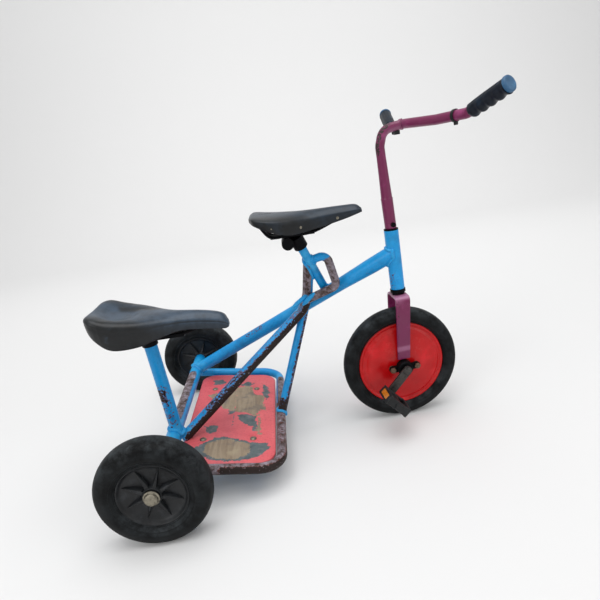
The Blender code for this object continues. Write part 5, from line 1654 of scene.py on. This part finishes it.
def build_rear_saddle():
    mesh = saddle_mesh(REAR_SECTIONS, 0.0012, 0.012)
    points, normals = points_and_normals(mesh)
    top = np.clip((normals[:, 2] - 0.25) / 0.4, 0, 1)
    far = np.hypot((points[:, 0] + 0.046) / 0.043, points[:, 1] / 0.047)
    points[:, 2] -= 0.0056 * top * np.clip((1.05 - far) / 0.5, 0, 1) ** 1.2
    fold = np.hypot((points[:, 0] + 0.01) / 0.04, (points[:, 1] - 0.03) / 0.006)
    points[:, 2] -= 0.0016 * top * np.clip(1.0 - fold, 0, 1)
    for x, y, size in ((-0.03, 0.052, 0.01), (-0.06, -0.05, 0.012), (0.02, -0.028, 0.009),
                       (0.015, 0.034, 0.008), (-0.082, 0.02, 0.01)):
        dent = np.hypot(points[:, 0] - x, points[:, 1] - y) / size
        points[:, 2] -= 0.0008 * top * np.clip(1.0 - dent, 0, 1)
    ripple = np.sin(points[:, 0] * 310.0) * np.sin(points[:, 0] * 97.0 + 1.3)
    skirt = np.clip(1.0 - np.abs(normals[:, 2]) * 1.6, 0, 1)
    points[:, 1] -= np.sign(points[:, 1]) * 0.0006 * skirt * np.abs(ripple)
    mesh.vertices.foreach_set("co", points.ravel())
    mesh.update()
    mesh.transform(REAR_SEAT)
    saddle_sheen_and_crease_shade(mesh, (frame_point(-0.075, POST_Y, 0.38), frame_point(0.14, POST_Y, 0.345), 0.06),
                0.85, [(frame_point(-0.045, -0.075, 0.368), frame_point(0.02, -0.08, 0.36), 0.9),
                       (frame_point(-0.085, -0.15, 0.375), frame_point(-0.03, -0.172, 0.366), 0.6)])
    cover = piece("rear_saddle_skin", mesh, "frame", "rear_saddle", ["rear_saddle_cover"], sharp=70)
    build_rails("rear_saddle_rails", 0.0032, REAR_SEAT, (
        (-0.078, 2.2, 0.34), (-0.06, 1.3, 0.318), (-0.02, 1.0, 0.315), (0.06, 0.9, 0.315),
        (0.105, 0.6, 0.323)))
    dress("rear_saddle_frame", "black_metal")
    collar = lathe(outline([(0.0152, -0.009), (0.0152, 0.003), (0.0128, 0.003), (0.0128, -0.009)],
                           0.0008, 3), 48, aim(POST_ROUTE[1], POST_ROUTE[1] - POST_ROUTE[0]))
    piece("rear_saddle_collar", collar, "frame", "black_metal", ["rear_saddle_clamp"], sharp=50)


def section_at(sections, x):
    return [float(np.interp(x, [s[0] for s in sections], [s[i] for s in sections])) for i in range(1, 5)]


def build_front_saddle():
    mesh = saddle_mesh(FRONT_SECTIONS, 0.0005, 0.01)
    mesh.transform(ROOT)
    slot = block((AXLE.x + 0.2385, -0.0016, 0.4935), (AXLE.x + 0.264, 0.0016, 0.505), 0.0012)
    mesh = shaped(mesh, cutter=slot)
    saddle_sheen_and_crease_shade(mesh, (frame_point(0.225, 0, 0.5), frame_point(0.44, 0, 0.49), 0.055), 0.8,
                [(frame_point(0.25, -0.06, 0.49), frame_point(0.33, -0.036, 0.482), 0.5)])
    piece("front_saddle_skin", mesh, "frame", "front_saddle", ["front_saddle_cover"], sharp=60)
    dome = lathe([(0.0, 0.0012), (0.0016, 0.001), (0.0028, 0.0004), (0.003, -0.0012), (0.0, -0.0012)], 18)
    points, ways = [], []
    for x in (0.262, 0.318, 0.394):
        half, _, rim, low = section_at(FRONT_SECTIONS, x)
        ahead = section_at(FRONT_SECTIONS, x + 0.004)[0]
        behind = section_at(FRONT_SECTIONS, x - 0.004)[0]
        for sign in (-1, 1):
            tall = rim - low
            points.append(frame_point(x, sign * half * 0.972, rim - 0.62 * tall))
            ways.append(Vector(((behind - ahead) / 0.008, sign, -0.12)).normalized())
    piece("front_saddle_rivets", stud_mesh(dome, points, ways, "zinc"), "frame", "zinc", sharp=50)
    build_rails("front_saddle_rails", 0.003, ROOT, (
        (0.238, 2.6, 0.479), (0.256, 1.3, 0.452), (0.29, 1.0, 0.45), (0.34, 0.9, 0.45),
        (0.395, 0.7, 0.468)))
    dress("front_saddle_frame", "black_metal")
    dress("front_saddle_clamp", "black_metal")


# Studio.


FLOOR_FRONT, BEND_START, BEND_RADIUS, WALL_TOP, STAGE_HALF = -12.0, 2.4, 1.6, 6.0, 20.0


def build_stage():
    """A floor that bends up into a wall behind the object."""
    rows = [(FLOOR_FRONT, 0.0), (BEND_START, 0.0)]
    rows += [(BEND_START + BEND_RADIUS * math.sin(a), BEND_RADIUS - BEND_RADIUS * math.cos(a))
             for a in (math.radians(step * 5) for step in range(1, 19))]
    rows.append((BEND_START + BEND_RADIUS, WALL_TOP))
    vertices = [(x, y, z) for y, z in rows for x in (-STAGE_HALF, STAGE_HALF)]
    faces = [(2 * i, 2 * i + 1, 2 * i + 3, 2 * i + 2) for i in range(len(rows) - 1)]
    sweep = bpy.data.objects.new("studio_sweep", mesh_from(vertices, faces, "studio_sweep"))
    sweep.data.materials.append(FINISHES["paper"])
    sweep.data.shade_smooth()
    bpy.context.scene.collection.objects.link(sweep)


def soft_light(name, at, target, size, power):
    data = bpy.data.lights.new(name, "AREA")
    data.shape = "RECTANGLE"
    data.size, data.size_y = size
    data.energy = power
    made = bpy.data.objects.new(name, data)
    way = Vector(target) - Vector(at)
    made.matrix_world = Matrix.Translation(at) @ way.to_track_quat("-Z", "Y").to_matrix().to_4x4()
    bpy.context.scene.collection.objects.link(made)


def build_lights():
    bpy.context.scene.view_settings.view_transform = "Standard"
    world = bpy.data.worlds.new("studio_air")
    bpy.context.scene.world = world
    world.use_nodes = True
    sky = world.node_tree.nodes["Background"]
    sky.inputs["Color"].default_value = (1.0, 1.0, 1.0, 1.0)
    sky.inputs["Strength"].default_value = 0.68
    soft_light("overhead", (0.1, -0.3, 2.9), (0.05, 0.1, 0.0), (2.8, 2.2), 50.0)
    soft_light("window", (-2.2, -2.2, 1.7), (0.0, 0.0, 0.3), (1.2, 1.2), 17.0)
    soft_light("fill", (2.4, -1.6, 1.2), (0.1, 0.0, 0.3), (1.4, 1.4), 7.0)
    soft_light("backdrop_wash", (0.3, 1.3, 2.2), (0.3, 4.0, 0.9), (5.0, 0.8), 30.0)


CAMERA_AT = (AXLE.x + 0.2879, -0.984, 0.6144)
CAMERA_RIGHT, CAMERA_UP = Vector((0.9878, -0.0747, -0.1364)), Vector((0.1527, 0.3019, 0.941))


def build_camera():
    data = bpy.data.cameras.new("camera")
    data.sensor_width, data.lens = 36.0, 28.896
    data.shift_x, data.shift_y = -0.01875, 0.0071
    data.clip_start, data.clip_end = 0.05, 60.0
    made = bpy.data.objects.new("camera", data)
    back = CAMERA_RIGHT.cross(CAMERA_UP).normalized()
    up = back.cross(CAMERA_RIGHT).normalized()
    made.matrix_world = (Matrix.Translation(CAMERA_AT)
                         @ Matrix((CAMERA_RIGHT, up, back)).transposed().to_4x4())
    bpy.context.scene.collection.objects.link(made)
    bpy.context.scene.camera = made


# Operators.


class TricycleStep:
    bl_options = {"REGISTER", "UNDO"}


class TRICYCLE_OT_prepare(TricycleStep, bpy.types.Operator):
    """Builds the shared finishes and the geometry node trees"""
    bl_idname = "tricycle.prepare"
    bl_label = "Finishes and Trees"

    def execute(self, context):
        build_finishes(context.scene.tricycle_paint)
        build_trees()
        return {"FINISHED"}


class TRICYCLE_OT_stage(TricycleStep, bpy.types.Operator):
    """Builds the pale floor, the soft lights and the camera"""
    bl_idname = "tricycle.stage"
    bl_label = "Studio"

    def execute(self, context):
        build_stage()
        build_lights()
        build_camera()
        return {"FINISHED"}


class TRICYCLE_OT_frame_tubes(TricycleStep, bpy.types.Operator):
    """Builds the painted tubes and their weld beads"""
    bl_idname = "tricycle.frame_tubes"
    bl_label = "Frame Tubes"

    def execute(self, context):
        build_frame_tubes(context.scene.tricycle_tubes)
        return {"FINISHED"}


class TRICYCLE_OT_footboard(TricycleStep, bpy.types.Operator):
    """Builds the worn footboard with its straps and bolts"""
    bl_idname = "tricycle.footboard"
    bl_label = "Footboard"

    def execute(self, context):
        build_footboard()
        return {"FINISHED"}


class TRICYCLE_OT_rear_wheels(TricycleStep, bpy.types.Operator):
    """Builds both rear wheels and their axle caps"""
    bl_idname = "tricycle.rear_wheels"
    bl_label = "Rear Wheels"

    def execute(self, context):
        for side in ("left", "right"):
            build_rear_wheel(side, context.scene.tricycle_wheels)
        dress("rear_axle_rod", "zinc")
        return {"FINISHED"}


class TRICYCLE_OT_front_wheel(TricycleStep, bpy.types.Operator):
    """Builds the front tyre and its two discs"""
    bl_idname = "tricycle.front_wheel"
    bl_label = "Front Wheel"

    def execute(self, context):
        build_front_wheel(context.scene.tricycle_wheels)
        return {"FINISHED"}


class TRICYCLE_OT_fork(TricycleStep, bpy.types.Operator):
    """Builds the fork and finishes its bearings"""
    bl_idname = "tricycle.fork"
    bl_label = "Fork"

    def execute(self, context):
        build_fork()
        return {"FINISHED"}


class TRICYCLE_OT_handlebar(TricycleStep, bpy.types.Operator):
    """Builds the bent handlebar, its clips and its grips"""
    bl_idname = "tricycle.handlebar"
    bl_label = "Handlebar"

    def execute(self, context):
        build_handlebar(context.scene.tricycle_tubes)
        return {"FINISHED"}


class TRICYCLE_OT_drive(TricycleStep, bpy.types.Operator):
    """Builds the cranks, the pedals and the bearing nuts"""
    bl_idname = "tricycle.drive"
    bl_label = "Drive"

    def execute(self, context):
        build_drive(context.scene.tricycle_wheels)
        return {"FINISHED"}


class TRICYCLE_OT_rear_saddle(TricycleStep, bpy.types.Operator):
    """Builds the padded rear saddle"""
    bl_idname = "tricycle.rear_saddle"
    bl_label = "Rear Saddle"

    def execute(self, context):
        build_rear_saddle()
        return {"FINISHED"}


class TRICYCLE_OT_front_saddle(TricycleStep, bpy.types.Operator):
    """Builds the hard front saddle"""
    bl_idname = "tricycle.front_saddle"
    bl_label = "Front Saddle"

    def execute(self, context):
        build_front_saddle()
        return {"FINISHED"}


STEPS = (TRICYCLE_OT_prepare, TRICYCLE_OT_stage,
         TRICYCLE_OT_frame_tubes, TRICYCLE_OT_footboard,
         TRICYCLE_OT_rear_wheels, TRICYCLE_OT_front_wheel,
         TRICYCLE_OT_fork, TRICYCLE_OT_handlebar,
         TRICYCLE_OT_drive, TRICYCLE_OT_rear_saddle,
         TRICYCLE_OT_front_saddle)


class TRICYCLE_PT_panel(bpy.types.Panel):
    """Lists the building steps and what can be changed"""
    bl_label = "Two-Seat Tricycle"
    bl_idname = "TRICYCLE_PT_panel"
    bl_space_type = "VIEW_3D"
    bl_region_type = "UI"
    bl_category = "Tricycle"

    def draw(self, context):
        layout = self.layout
        for step in STEPS:
            layout.operator(step.bl_idname)
        for group in (context.scene.tricycle_tubes, context.scene.tricycle_wheels,
                      context.scene.tricycle_paint):
            box = layout.box()
            for name in group.__annotations__:
                box.prop(group, name)


CLASSES = (TricycleTubes, TricycleWheels, TricyclePaint, *STEPS, TRICYCLE_PT_panel)


def register():
    for entry in CLASSES:
        bpy.utils.register_class(entry)
    bpy.types.Scene.tricycle_tubes = PointerProperty(type=TricycleTubes)
    bpy.types.Scene.tricycle_wheels = PointerProperty(type=TricycleWheels)
    bpy.types.Scene.tricycle_paint = PointerProperty(type=TricyclePaint)


def unregister():
    for name in ("tricycle_tubes", "tricycle_wheels", "tricycle_paint"):
        delattr(bpy.types.Scene, name)
    for entry in reversed(CLASSES):
        bpy.utils.unregister_class(entry)


def main():
    register()
    for step in STEPS:
        getattr(bpy.ops.tricycle, step.bl_idname.split(".")[1])()
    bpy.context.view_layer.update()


if __name__ == "__main__":
    main()
